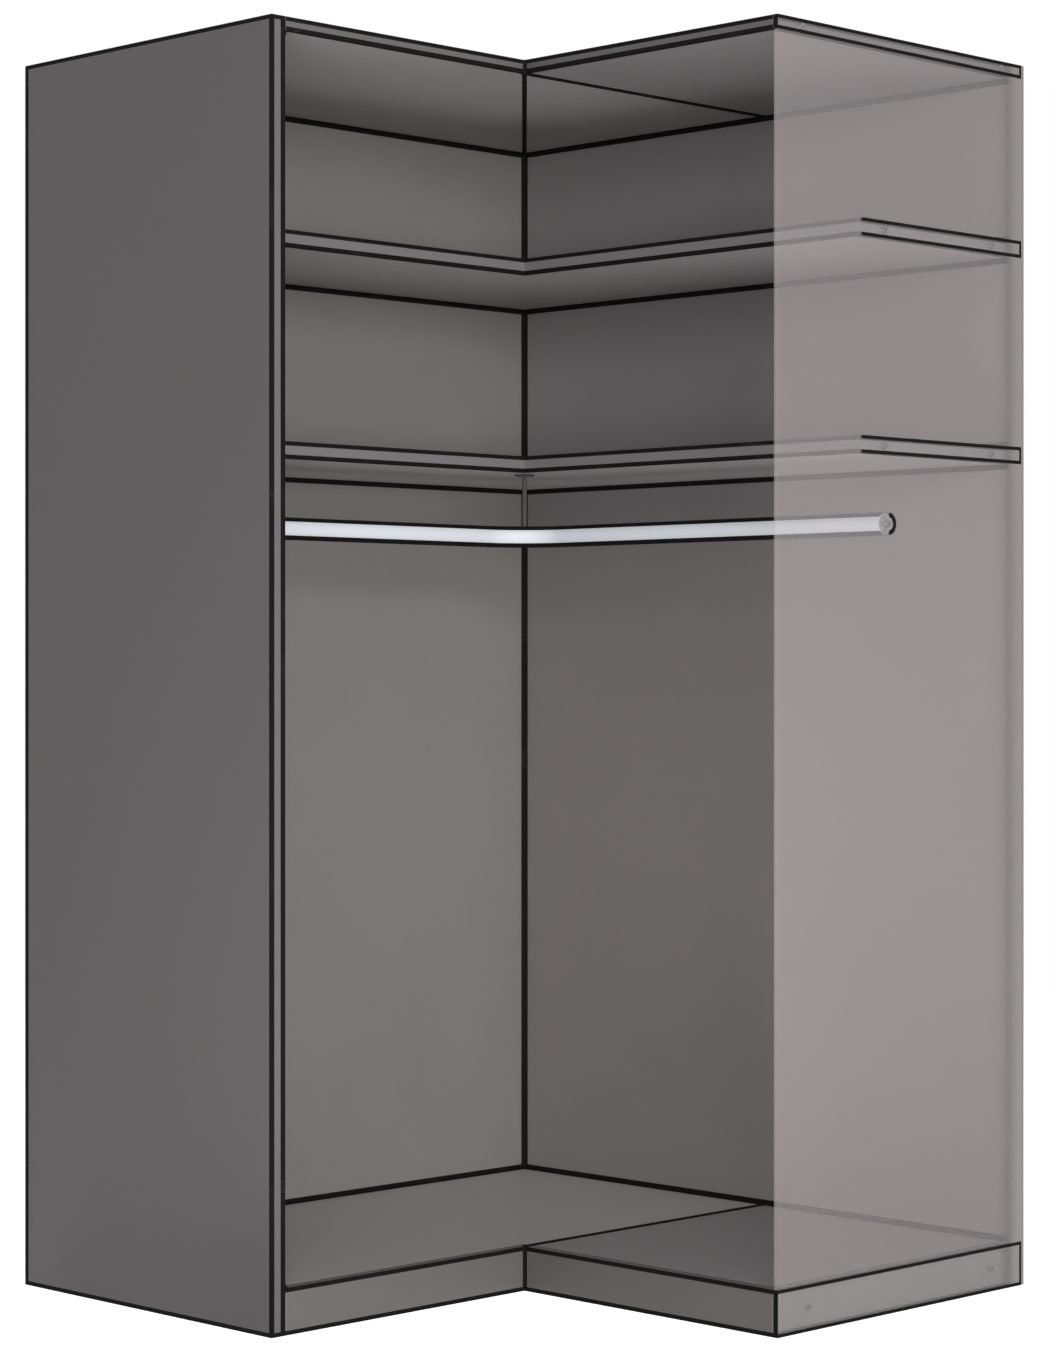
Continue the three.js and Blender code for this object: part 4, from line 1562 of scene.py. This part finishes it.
@dataclass
class Joints(SubAssembly):
    """The sealed lines: beads in the corners, strips on the ceiling and the floor, lines on the sheet."""

    corner_bead_leg: float = 4 * MM
    ceiling_seam_width: float = 17 * MM
    floor_seam_width: float = 13 * MM
    corner_strip_width: float = 8 * MM
    strip_rise: float = 2.2 * MM
    strip_steps: int = 8
    line_width: float = 5.5 * MM
    rail_line_width: float = 7.5 * MM
    rail_line_steps: int = 24
    turned_width: float = 1.2 * MM
    line_proud: float = 0.1 * MM
    line_depth: float = 0.3 * MM

    def build(self) -> None:
        """Makes the beads of each compartment, the strips and the lines."""
        upper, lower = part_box("upper_shelf"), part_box("lower_shelf")
        floor_top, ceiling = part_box("floor_board_left")[1].z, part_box("top_board_left")[0].z
        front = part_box("plinth_left")[0].y
        shelf_front = inner_corner("upper_shelf")[1]
        self.beads("hanging_space", (floor_top, lower[0].z), (front, shelf_front))
        self.beads("middle_space", (lower[1].z, upper[0].z), (shelf_front, shelf_front))
        self.beads("top_space", (upper[1].z, ceiling), (shelf_front, front))
        self.corner_bead("base_corner_bead", (0.0, floor_top))
        self.corner_bead("top_corner_bead", (ceiling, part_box("top_board_left")[1].z))
        self.strips(floor_top, ceiling)
        self.sheet_lines()
        self.rail_line()

    def beads(self, space: str, heights: Point2, fronts: Point2) -> None:
        """Seals the inside corners of one compartment.

        Args:
            space: The compartment.
            heights: Its bottom and its top.
            fronts: How far forward the side panel's beads run at its bottom and its top.
        """
        side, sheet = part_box("left_side_panel")[1].x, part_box("right_side_sheet")[1].y
        rear_x, rear_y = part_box("back_panel_right")[0].x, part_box("back_panel_left")[0].y
        bottom, top = heights
        beads = [
            Bead(Vector((rear_x, rear_y, bottom)), Vector((rear_x, rear_y, top)), -RIGHT, -BACK),
            Bead(Vector((side, rear_y, bottom)), Vector((side, rear_y, top)), RIGHT, -BACK),
        ]
        for height, away, front in ((bottom, UP, fronts[0]), (top, -UP, fronts[1])):
            rear, corner = Vector((rear_x, rear_y, height)), Vector((side, rear_y, height))
            beads.append(Bead(corner, rear, -BACK, away))
            beads.append(Bead(Vector((rear_x, sheet, height)), rear, -RIGHT, away))
            beads.append(Bead(Vector((side, front, height)), corner, RIGHT, away))
        self.add_beads(f"joint_beads_{space}", beads)

    def add_beads(self, name: str, beads: Iterable[Bead]) -> None:
        """Adds several beads as one piece.

        Args:
            name: The piece's name.
            beads: The beads.
        """
        skin = Skin()
        for bead in beads:
            bead.add_to(skin)
        self.add_seal(name, skin)

    def corner_bead(self, name: str, heights: Point2) -> None:
        """Seals the upright corner between the fronts of the two wings.

        Args:
            name: The piece's name.
            heights: Where the bead starts and ends.
        """
        x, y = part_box("plinth_right")[0].x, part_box("plinth_left")[0].y
        low, high = (Vector((x, y, height)) for height in heights)
        self.add_beads(name, [Bead(low, high, -RIGHT, -BACK, leg=self.corner_bead_leg)])

    def strips(self, floor_top: float, ceiling: float) -> None:
        """Covers the seams of the top and the floor, and lines the ceiling back to the rear corner.

        Args:
            floor_top: The height of the floor boards' upper face.
            ceiling: The height of the top boards' underside.
        """
        corner = Vector((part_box("plinth_right")[0].x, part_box("plinth_left")[0].y))
        for where, board, width, height, away in (
            ("ceiling", "top_board_left", self.ceiling_seam_width, ceiling, -1),
            ("floor", "floor_board_left", self.floor_seam_width, floor_top, 1),
        ):
            seam_end = Vector((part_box(board)[1].x, corner.y))
            self.strip(f"{where}_seam_strip", (corner, seam_end), width, height, away)
        rear = Vector((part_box("back_panel_right")[0].x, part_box("back_panel_left")[0].y))
        before = rear - (rear - corner).normalized() * self.corner_strip_width / 2
        self.strip("ceiling_corner_strip", (corner, before), self.corner_strip_width, ceiling, -1)

    def strip(self, name: str, ends: tuple[Vector, Vector], width: float, height: float, away: int) -> None:
        """Lays a low strip on the ceiling or the floor.

        Args:
            name: The strip's name.
            ends: Where it starts and ends in plan.
            width: How wide it is.
            height: The height of the face that the strip lies on.
            away: 1 where the strip stands up from the face, or -1 where it hangs under it.
        """
        heading = (ends[1] - ends[0]).normalized()
        aside = Vector((-heading.y, heading.x))
        arc = [math.pi * step / self.strip_steps for step in range(self.strip_steps + 1)]
        sections = []
        for end in ends:
            places = [end - aside * (width / 2 * math.cos(angle)) for angle in arc]
            rises = [height + away * self.strip_rise * math.sin(angle) for angle in arc]
            sections.append([Vector((*place, rise)) for place, rise in zip(places, rises, strict=True)])
        skin = Skin()
        skin.draw_out(sections)
        self.add_seal(name, skin)

    def sheet_lines(self) -> None:
        """Draws the ends of the boards on the sheet's outer face."""
        front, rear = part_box("plinth_right")[0].x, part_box("back_panel_right")[1].x
        shelf_front = inner_corner("upper_shelf")[0]
        boards = {
            "top": (front, *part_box("top_board_right"), True),
            "upper_shelf": (shelf_front, *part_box("upper_shelf"), False),
            "lower_shelf": (shelf_front, *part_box("lower_shelf"), False),
            "base": (front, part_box("plinth_right")[0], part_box("floor_board_right")[1], True),
        }
        width = self.line_width
        for board, (x, low, high, closed) in boards.items():
            outer = [(x, high.z), (rear, high.z), (rear, low.z), (x, low.z)]
            near = x + self.turned_width if closed else x
            inner = [(near, high.z - width), (rear - width, high.z - width)]
            inner += [(rear - width, low.z + width), (near, low.z + width)]
            self.line(f"sheet_line_{board}", outer, inner, Ends.JOINED if closed else Ends.FLAT)
            if closed:
                self.edge_line(f"sheet_edge_line_{board}", low.z, high.z)

    def edge_line(self, name: str, bottom: float, top: float) -> None:
        """Carries a line round onto the sheet's front edge.

        Args:
            name: The piece's name.
            bottom: The height at which the line begins.
            top: The height at which it ends.
        """
        low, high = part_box("right_side_sheet")
        near, far = low.y - self.line_proud, high.y
        section = [(near, bottom), (near, top), (far, top), (far, bottom)]
        skin = Skin()
        skin.draw_out(
            [Vector((x, y, z)) for y, z in section]
            for x in (low.x - self.line_proud, low.x + self.line_depth)
        )
        self.soften(self.add_seal(name, skin), self.line_proud)

    def rail_line(self) -> None:
        """Draws the far half of the rail's round end on the sheet."""
        low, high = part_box("hanging_rail")
        radius = (high.z - low.z) / 2
        x, z = high.x - radius, low.z + radius
        steps = self.rail_line_steps
        turns = [QUARTER_TURN - math.pi * step / steps for step in range(steps + 1)]
        outer, inner = (
            [(x + reach * math.cos(turn), z + reach * math.sin(turn)) for turn in turns]
            for reach in (radius, radius - self.rail_line_width)
        )
        self.line("sheet_line_rail", outer, inner, Ends.FLAT)

    def line(self, name: str, outer: Sequence[Point2], inner: Sequence[Point2], ends: Ends) -> None:
        """Makes one line on the sheet's outer face.

        Args:
            name: The piece's name.
            outer: Points along the line's outer side, as X and Z.
            inner: As many points along its inner side.
            ends: Whether the line's end meets its start.
        """
        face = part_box("right_side_sheet")[0].y
        front, rear = face - self.line_proud, face + self.line_depth
        skin = Skin()
        skin.draw_out(
            (
                [Vector((x, y, z)) for (x, z), y in ((out, front), (into, front), (into, rear), (out, rear))]
                for out, into in zip(outer, inner, strict=True)
            ),
            ends,
        )
        self.add_seal(name, skin)


@dataclass
class HangingRail(SubAssembly):
    """The bent tube with its strips, the plugs in its ends and the rod that carries its bend."""

    bend_radius: float = 100 * MM
    bend_steps: int = 20
    wall: float = 1.5 * MM
    sides: int = 48
    tube_crease: float = math.radians(50)
    strip_middles: tuple[tuple[str, float], ...] = (("upper", QUARTER_TURN), ("lower", 3 * QUARTER_TURN))
    strip_spread: float = math.radians(50)
    strip_proud: float = 0.9 * MM
    strip_steps: int = 10
    rod_radius: float = 4 * MM
    rod_fillet: float = 1.5 * MM
    rod_sides: int = 36
    stud_radius: float = 3 * MM
    stud_thread: Thread = Thread(pitch=1.0 * MM, depth=0.4 * MM)
    flange_thickness: float = 3 * MM
    flange_lip: float = 0.8 * MM
    flange_gap: float = 0.3 * MM

    def build(self) -> None:
        """Makes the tube, its strips and the rod, and dresses the fittings inside the tube."""
        self.add("rail_tube", self.tube_mesh(), self.finishes.tube, Slot.TUBE, ["hanging_rail"])
        self.add("hanger_rod", self.rod_mesh(), self.finishes.painted, Slot.PAINTED, ["rail_hanger"])
        for where, middle in self.strip_middles:
            name = f"rail_{where}_strip"
            self.add(name, self.strip_mesh(name, middle), self.finishes.seal, Slot.PLASTIC)
        for node in ("rail_plug_left", "rail_plug_right", "rail_hanger_nut"):
            self.dress(node, self.finishes.zinc)

    def radius(self) -> float:
        """The tube's outer radius."""
        low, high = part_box("hanging_rail")
        return (high.z - low.z) / 2

    def stations(self) -> list[tuple[Vector, Vector]]:
        """Follows the tube's middle.

        Returns:
            Places along it, each with the level direction across the tube there.
        """
        low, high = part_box("hanging_rail")
        height, radius = (low.z + high.z) / 2, self.radius()
        line_x, line_y = high.x - radius, high.y - radius
        centre = Vector((line_x - self.bend_radius, line_y - self.bend_radius, height))
        places = [(Vector((low.x, line_y, height)), BACK)]
        for step in range(self.bend_steps + 1):
            angle = QUARTER_TURN * (1 - step / self.bend_steps)
            across = Vector((math.cos(angle), math.sin(angle), 0.0))
            places.append((centre + across * self.bend_radius, across))
        places.append((Vector((line_x, low.y, height)), RIGHT))
        return places

    @staticmethod
    def section(station: tuple[Vector, Vector], outline: Iterable[Point2]) -> list[Vector]:
        """Places one section of a length that follows the tube.

        Args:
            station: A place along the tube's middle and the direction across it.
            outline: The section's corners, as turns up from level and distances from the middle.

        Returns:
            The section's points.
        """
        place, across = station
        return [place + (across * math.cos(turn) + UP * math.sin(turn)) * reach for turn, reach in outline]

    def tube_mesh(self) -> bpy.types.Mesh:
        """Makes the tube's skin, out along its outside and back along its bore.

        Returns:
            The tube's mesh.
        """
        radius, stations = self.radius(), self.stations()
        turns = [FULL_TURN * step / self.sides for step in range(self.sides)]
        skin = Skin()
        skin.draw_out(
            (
                self.section(station, [(turn, reach) for turn in turns])
                for reach, order in ((radius, stations), (radius - self.wall, stations[::-1]))
                for station in order
            ),
            Ends.JOINED,
        )
        return skin.mesh("rail_tube", self.tube_crease)

    def strip_mesh(self, name: str, middle: float) -> bpy.types.Mesh:
        """Makes a soft dark strip along the tube, which quietens the hangers.

        Args:
            name: The mesh's name.
            middle: The direction round the tube's section that the strip faces.

        Returns:
            The strip, as long as the tube.
        """
        radius = self.radius()
        crown = []
        for step in range(self.strip_steps + 1):
            share = step / self.strip_steps
            turn = middle + self.strip_spread * (2 * share - 1)
            crown.append((turn, radius + self.strip_proud * math.sin(math.pi * share)))
        outline = crown + [(turn, radius - self.strip_proud) for turn, _ in reversed(crown)]
        skin = Skin()
        skin.draw_out(self.section(station, outline) for station in self.stations())
        return skin.mesh(name)

    def rod_mesh(self) -> bpy.types.Mesh:
        """Makes the rod: a threaded stud, a flange under the shelf and a plain shaft down to the tube.

        Returns:
            The rod's mesh.
        """
        low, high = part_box("rail_hanger")
        flange, rod, lip = (high.x - low.x) / 2, self.rod_radius, self.flange_lip
        length = high.z - low.z
        seat = high.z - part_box("lower_shelf")[0].z + self.flange_gap
        under = seat + self.flange_thickness
        rings = [
            Ring(0.0, 0.0),
            Ring(0.0, self.stud_radius - lip),
            *threaded(lip, seat - lip, self.stud_radius, self.stud_thread),
            Ring(seat, self.stud_radius),
            Ring(seat, flange - lip),
            Ring(seat + lip, flange),
            Ring(under - lip, flange),
            Ring(under, flange - lip),
            Ring(under, rod + self.rod_fillet),
            Ring(under + self.rod_fillet, rod),
            Ring(length, rod),
            Ring(length, 0.0),
        ]
        start = under_middle("rail_hanger") + UP * length
        return turned_mesh("hanger_rod", [Turned(start, -UP, rings, self.rod_sides)])


@dataclass
class Fixings(SubAssembly):
    """The screws, cams, bolts, dowels and shelf pins."""

    sheet_shank: float = 3.0 * MM
    sheet_head_depth: float = 3.0 * MM
    back_shank: float = 3.5 * MM
    back_head_depth: float = 4.0 * MM
    pin_edge: float = 0.8 * MM
    cam_rim: float = 0.4 * MM
    cam_slot_depth: float = 3 * MM
    cam_slot_share: float = 0.6
    cam_slot_floor_share: float = 0.5
    cam_sides: int = 48

    def build(self) -> None:
        """Makes the screws that show, and dresses the fittings inside the boards."""
        targets = ("top", "upper_shelf", "lower_shelf", "plinth")
        sheet_nodes = [f"sheet_screw_{target}_{where}" for target in targets for where in ("front", "rear")]
        for node in [*sheet_nodes, "rail_screw_right"]:
            screw = self.screw_at(node, BACK, self.sheet_shank, self.sheet_head_depth)
            self.add_screw(node, screw, self.finishes.fixing, Slot.FIXING)
        for level in ("upper", "lower"):
            for wing, direction in (("left", -BACK), ("right", -RIGHT)):
                node = f"{level}_shelf_screw_{wing}"
                screw = self.screw_at(node, direction, self.back_shank, self.back_head_depth)
                self.add_screw(node, screw, self.finishes.zinc, Slot.ZINC)
        for where in ("front", "rear"):
            self.cam(where)
            self.dress(f"top_cam_bolt_{where}", self.finishes.zinc)
            self.dress(f"top_seam_dowel_{where}", self.finishes.beech)
            for level in ("upper", "lower"):
                pin = self.dress(f"{level}_shelf_pin_{where}", self.finishes.zinc)
                self.soften(pin, self.pin_edge)

    def screw_at(self, node: str, direction: Vector, shank: float, head_depth: float) -> Screw:
        """A detailed screw in the place of a plain one.

        Args:
            node: The CAD node that it stands for.
            direction: The way that it is driven.
            shank: Its shank's radius.
            head_depth: How deep its head is.

        Returns:
            The screw.
        """
        low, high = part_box(node)
        length = abs((high - low).dot(direction))
        head = (high.z - low.z) / 2
        start = (low + high) / 2 - direction * length / 2
        return Screw(start, direction, head, head_depth, shank, length)

    def add_screw(self, node: str, screw: Screw, material: bpy.types.Material, slot: Slot) -> None:
        """Adds one screw in the place of its node."""
        name = f"{node}_detailed"
        self.add(name, turned_mesh(name, [screw.turned()]), material, slot, [node])

    def cam(self, where: str) -> None:
        """Makes one cam with its cross slot, facing down out of the top board.

        Args:
            where: Which cam it is, front or rear.
        """
        node = f"top_cam_lock_{where}"
        low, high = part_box(node)
        radius, depth = (high.x - low.x) / 2, high.z - low.z
        rings = [
            Ring(self.cam_slot_depth, 0.0),
            Ring(self.cam_slot_depth, self.cam_slot_floor_share * radius, Section.CROSS),
            Ring(0.0, self.cam_slot_share * radius, Section.CROSS),
            Ring(0.0, radius - self.cam_rim),
            Ring(self.cam_rim, radius),
            Ring(depth, radius),
            Ring(depth, 0.0),
        ]
        name = f"{node}_detailed"
        mesh = turned_mesh(name, [Turned(under_middle(node), UP, rings, self.cam_sides)])
        self.add(name, mesh, self.finishes.zinc, Slot.ZINC, [node])


@dataclass
class RearSteel(SubAssembly):
    """The angle behind the rear corner and the plates that hook onto the walls, with their screws."""

    angle_edge: float = 0.5 * MM
    angle_screws: int = 5
    angle_screw_share: float = 0.45
    end_margin: float = 50 * MM
    plate_margin: float = 9 * MM
    screw_head: float = 3.6 * MM
    screw_head_depth: float = 1.6 * MM
    screw_shank: float = 1.75 * MM
    screw_length: float = 14 * MM

    def build(self) -> None:
        """Dresses the steel and screws it on."""
        self.soften(self.dress("rear_corner_angle", self.finishes.zinc), self.angle_edge)
        self.screw_on("corner_angle_screws", self.angle_places())
        for wing in ("left", "right"):
            self.dress(f"wall_plate_{wing}", self.finishes.zinc)
            self.screw_on(f"wall_plate_screws_{wing}", self.plate_places(wing))

    def screw_on(self, name: str, places: Iterable[tuple[Vector, Vector]]) -> None:
        """Adds round-headed screws as one piece.

        Args:
            name: The piece's name.
            places: The face under each screw's head, with the way that the screw is driven.
        """
        screws = (
            Screw(
                place - direction * self.screw_head_depth,
                direction,
                self.screw_head,
                self.screw_head_depth,
                self.screw_shank,
                self.screw_length,
                countersunk=False,
            ).turned()
            for place, direction in places
        )
        self.add(name, turned_mesh(name, screws), self.finishes.zinc, Slot.ZINC)

    def angle_places(self) -> Iterable[tuple[Vector, Vector]]:
        """Finds the places of the screws up both legs of the angle.

        Returns:
            Each place, with the way that the screw is driven.
        """
        low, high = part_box("rear_corner_angle")
        across = (high.x - low.x) * self.angle_screw_share
        bottom, top = low.z + self.end_margin, high.z - self.end_margin
        for step in range(self.angle_screws):
            height = bottom + (top - bottom) * step / (self.angle_screws - 1)
            yield Vector((low.x + across, high.y, height)), -BACK
            yield Vector((high.x, low.y + across, height)), -RIGHT

    def plate_places(self, wing: str) -> Iterable[tuple[Vector, Vector]]:
        """Finds the places of the screws in the four corners of one wall plate.

        Args:
            wing: The wing that the plate is on.

        Returns:
            Each place, with the way that the screw is driven.
        """
        low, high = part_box(f"wall_plate_{wing}")
        margin = self.plate_margin
        for height in (low.z + margin, high.z - margin):
            if wing == "left":
                for x in (low.x + margin, high.x - margin):
                    yield Vector((x, high.y, height)), -BACK
            else:
                for y in (low.y + margin, high.y - margin):
                    yield Vector((high.x, y, height)), -RIGHT


@dataclass
class Underframe(SubAssembly):
    """The raw rails under the floor boards, and the levelling feet in their housings."""

    places: tuple[str, ...] = (
        "left_front",
        "left_rear",
        "inner_corner",
        "rear_corner",
        "right_front",
        "right_rear",
    )
    rail_edge: float = 0.4 * MM
    pad_thickness: float = 5 * MM
    pad_lip: float = 1 * MM
    nut_radius: float = 8 * MM
    nut_height: float = 6 * MM
    stem_radius: float = 5 * MM
    stem_thread: Thread = Thread(pitch=1.5 * MM, depth=0.9 * MM)
    foot_sides: int = 36
    bore_radius: float = 5.4 * MM
    sleeve_radius: float = 17 * MM
    spigot_radius: float = 12 * MM
    spigot_height: float = 8 * MM
    flange_thickness: float = 5 * MM
    flange_lip: float = 0.8 * MM
    housing_sides: int = 40
    ribs: int = 8
    rib_thickness: float = 2 * MM
    rib_drop: float = 14 * MM
    rib_bury: float = 1 * MM

    def build(self) -> None:
        """Dresses the rails and makes each foot and its housing."""
        for rail in ("left", "back_left", "back_right", "seam"):
            self.soften(self.dress(f"base_rail_{rail}", self.finishes.raw), self.rail_edge)
        for place in self.places:
            self.foot(place)
            self.housing(place)

    def foot(self, place: str) -> None:
        """Makes one foot: a hexagon-topped pad on a threaded stem, which rides on its own body.

        Args:
            place: Which foot it is.
        """
        node = f"levelling_foot_{place}"
        low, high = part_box(node)
        pad, lip, thickness = (high.x - low.x) / 2, self.pad_lip, self.pad_thickness
        nut_top, stem_top = thickness + self.nut_height, high.z - low.z
        rings = [
            Ring(0.0, 0.0),
            Ring(0.0, pad - lip),
            Ring(lip, pad),
            Ring(thickness - lip, pad),
            Ring(thickness, pad - lip),
            Ring(thickness, self.nut_radius, Section.HEXAGON),
            Ring(nut_top, self.nut_radius, Section.HEXAGON),
            Ring(nut_top, self.stem_radius - lip / 2),
            *threaded(nut_top + lip / 2, stem_top - lip, self.stem_radius, self.stem_thread),
            Ring(stem_top, self.stem_radius - 2 * lip),
            Ring(stem_top, 0.0),
        ]
        name = f"{node}_detailed"
        mesh = turned_mesh(name, [Turned(under_middle(node), UP, rings, self.foot_sides)])
        self.add(name, mesh, self.finishes.zinc, Slot.ZINC, [node], body=f"foot_{place}")

    def housing(self, place: str) -> None:
        """Makes one housing: a ribbed sleeve with a flange under the floor board.

        Args:
            place: Which foot it holds.
        """
        node = f"foot_housing_{place}"
        low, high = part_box(node)
        start, flange, lip = under_middle(node), (high.x - low.x) / 2, self.flange_lip
        flange_top = high.z - low.z - self.spigot_height
        flange_bottom = flange_top - self.flange_thickness
        rings = [
            Ring(0.0, self.bore_radius),
            Ring(0.0, self.sleeve_radius - lip),
            Ring(lip, self.sleeve_radius),
            Ring(flange_bottom, self.sleeve_radius),
            Ring(flange_bottom, flange - lip),
            Ring(flange_bottom + lip, flange),
            Ring(flange_top, flange),
            Ring(flange_top, self.spigot_radius),
            Ring(high.z - low.z, self.spigot_radius),
            Ring(high.z - low.z, self.bore_radius),
            Ring(0.0, self.bore_radius),
        ]
        skin = Skin()
        Turned(start, UP, rings, self.housing_sides).add_to(skin)
        self.add_ribs(skin, start, flange_bottom, flange - 2 * lip)
        name = f"{node}_detailed"
        self.add(name, skin.mesh(name), self.finishes.plastic, Slot.PLASTIC, [node])

    def add_ribs(self, skin: Skin, start: Vector, seat: float, reach: float) -> None:
        """Adds the ribs that stiffen a housing's flange.

        Args:
            skin: The housing's skin.
            start: The middle of the housing's lower end.
            seat: The height of the flange's underside above it.
            reach: How far the ribs run out under the flange.
        """
        bury, half, foot = self.rib_bury, self.rib_thickness / 2, seat - self.rib_drop
        inner = self.sleeve_radius - bury
        profile = [(inner, foot), (self.sleeve_radius, foot), (reach, seat - bury)]
        profile += [(reach, seat + bury), (inner, seat + bury)]
        for rib in range(self.ribs):
            angle = FULL_TURN * rib / self.ribs
            outward = Vector((math.cos(angle), math.sin(angle), 0.0))
            aside = Vector((-outward.y, outward.x, 0.0))
            skin.draw_out(
                [start + outward * out + aside * offset + UP * rise for out, rise in profile]
                for offset in (-half, half)
            )


# The studio


@dataclass(frozen=True)
class Viewpoint:
    """Where the picture is taken from, level and along the diagonal of the two wings."""

    picture: tuple[int, int] = (1050, 1365)
    focal_pixels: float = 3313.7
    horizon_row: float = 667.9
    middle_column: float = 524.5
    distance: float = 5.3839
    eye_height: float = 1.0121
    sensor: float = 36.0

    def build(self, corner: Point2) -> None:
        """Makes the scene's camera.

        Args:
            corner: The inner corner of the wardrobe's plan, which the distance is from.
        """
        width, height = self.picture
        data = bpy.data.cameras.new("viewpoint")
        data.sensor_width = self.sensor
        data.lens = self.sensor * self.focal_pixels / height
        data.shift_x = (width / 2 - self.middle_column) / height
        data.shift_y = -(height / 2 - self.horizon_row) / height
        camera = in_scene("viewpoint", data)
        back = self.distance / math.sqrt(2)
        camera.location = (corner[0] - back, corner[1] - back, self.eye_height)
        camera.rotation_euler = (QUARTER_TURN, 0.0, -QUARTER_TURN / 2)
        bpy.context.scene.camera = camera


@dataclass(frozen=True)
class SoftBox:
    """A large soft lamp that is aimed at the wardrobe."""

    name: str
    bearing: float
    elevation: float
    distance: float
    size: float
    level: float
    aim: tuple[float, float, float] = (0.0, 0.0, 1.0)

    def build(self) -> None:
        """Makes the lamp. Its bearing is from -Y towards -X, and a white card facing it shows its level."""
        bearing, elevation = math.radians(self.bearing), math.radians(self.elevation)
        reach = math.cos(elevation)
        away = Vector((-math.sin(bearing) * reach, -math.cos(bearing) * reach, math.sin(elevation)))
        data = bpy.data.lights.new(self.name, "AREA")
        data.shape = "RECTANGLE"
        data.size = data.size_y = self.size
        data.energy = self.level * math.pi**2 * self.distance**2
        lamp = in_scene(self.name, data)
        lamp.location = Vector(self.aim) + away * self.distance
        lamp.rotation_euler = (-away).to_track_quat("-Z", "Y").to_euler()
        lamp.visible_camera = False
        log.info("lamp %s: %.0f watts", self.name, data.energy)


@dataclass(frozen=True)
class Studio:
    """A pale floor that fades out into white, an even sky and soft lamps."""

    sky_level: float = 0.16
    floor_radius: float = 7.0
    floor_sides: int = 96
    floor_solid: float = 1.6
    floor_clear: float = 5.5
    floor_tone: float = 0.8
    floor_lift: float = 0.85
    lamps: tuple[SoftBox, ...] = (
        SoftBox("key", bearing=32, elevation=4, distance=9, size=3.5, level=1.0),
        SoftBox("side_fill", bearing=48, elevation=4, distance=9, size=3.5, level=0.13),
        SoftBox("high_fill", bearing=42, elevation=42, distance=8, size=3.5, level=0.14),
        SoftBox(
            "left_card", bearing=0, elevation=-90, distance=1.5, size=1, level=0.36, aim=(-0.7, -1.35, 1.6)
        ),
        SoftBox(
            "right_card", bearing=0, elevation=-90, distance=1.5, size=1, level=0.54, aim=(-1.3, -0.7, 1.6)
        ),
        SoftBox("rear_fill", bearing=225, elevation=25, distance=8, size=3.5, level=0.5),
    )

    def build(self) -> None:
        """Sets the view transform and makes the sky, the floor and the lamps."""
        bpy.context.scene.view_settings.view_transform = "Standard"
        self.sky()
        self.floor()
        for lamp in self.lamps:
            lamp.build()

    def seen_plainly(self, wiring: Wiring) -> bpy.types.NodeSocket:
        """Tells a look from light that falls.

        Args:
            wiring: The nodes of the sky or the floor.

        Returns:
            1 where a ray from the camera, a reflection or a pane looks, and 0 for light that falls.
        """
        path = wiring.node("ShaderNodeLightPath").outputs
        either = wiring.math("MAXIMUM", path["Is Camera Ray"], path["Is Glossy Ray"])
        return wiring.math("MAXIMUM", either, path["Is Transmission Ray"])

    def sky(self) -> None:
        """Makes an even sky, white wherever it is seen."""
        world = bpy.data.worlds.new("studio")
        wiring = Wiring.blank(world)
        background = wiring.node("ShaderNodeBackground")
        strength = wiring.span(self.seen_plainly(wiring), 0.0, 1.0, self.sky_level, 1.0)
        wiring.feed_all(background, {"Color": WHITE, "Strength": strength})
        output = wiring.node("ShaderNodeOutputWorld")
        wiring.feed(output.inputs["Surface"], background.outputs["Background"])
        bpy.context.scene.world = world

    def floor(self) -> None:
        """Makes a round floor."""
        work = bmesh.new()
        bmesh.ops.create_circle(work, cap_ends=True, segments=self.floor_sides, radius=self.floor_radius)
        floor = in_scene("floor", made_mesh("floor", work))
        floor.data.materials.append(self.floor_material())

    def floor_material(self) -> bpy.types.Material:
        """Paints the floor pale where light falls, lifts it to white where it is seen, and fades it out.

        Returns:
            The floor's material, which is clear from below.
        """
        material = bpy.data.materials.new("studio_floor")
        wiring = Wiring.blank(material)
        paint = wiring.node("ShaderNodeBsdfDiffuse")
        wiring.feed(paint.inputs["Color"], (self.floor_tone, self.floor_tone, self.floor_tone, 1.0))
        lift = wiring.node("ShaderNodeEmission")
        strength = wiring.math("MULTIPLY", self.seen_plainly(wiring), self.floor_lift)
        wiring.feed(lift.inputs["Strength"], strength)
        lifted = wiring.node("ShaderNodeAddShader")
        wiring.feed_in_order(lifted, paint.outputs["BSDF"], lift.outputs["Emission"])
        clear = wiring.node("ShaderNodeBsdfTransparent")
        away = wiring.vector_math("LENGTH", "Value", wiring.place())
        fading = wiring.span(away, self.floor_solid, self.floor_clear, 0.0, 1.0)
        below = wiring.node("ShaderNodeNewGeometry").outputs["Backfacing"]
        unseen = wiring.math("MAXIMUM", fading, below)
        mixed = wiring.node("ShaderNodeMixShader")
        wiring.feed_in_order(mixed, unseen, lifted.outputs["Shader"], clear.outputs["BSDF"])
        output = wiring.node("ShaderNodeOutputMaterial")
        wiring.feed(output.inputs["Surface"], mixed.outputs["Shader"])
        return material


def main() -> None:
    """Dresses the wardrobe and sets up the studio."""
    logging.basicConfig(level=logging.INFO, format="%(message)s", stream=sys.stdout)
    corner = (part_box("plinth_right")[0].x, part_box("plinth_left")[0].y)
    Viewpoint().build(corner)
    Studio().build()
    finishes = Finishes()
    for part in (Boards, Joints, HangingRail, Fixings, RearSteel, Underframe):
        part(finishes).build()


if __name__ == "__main__":
    main()
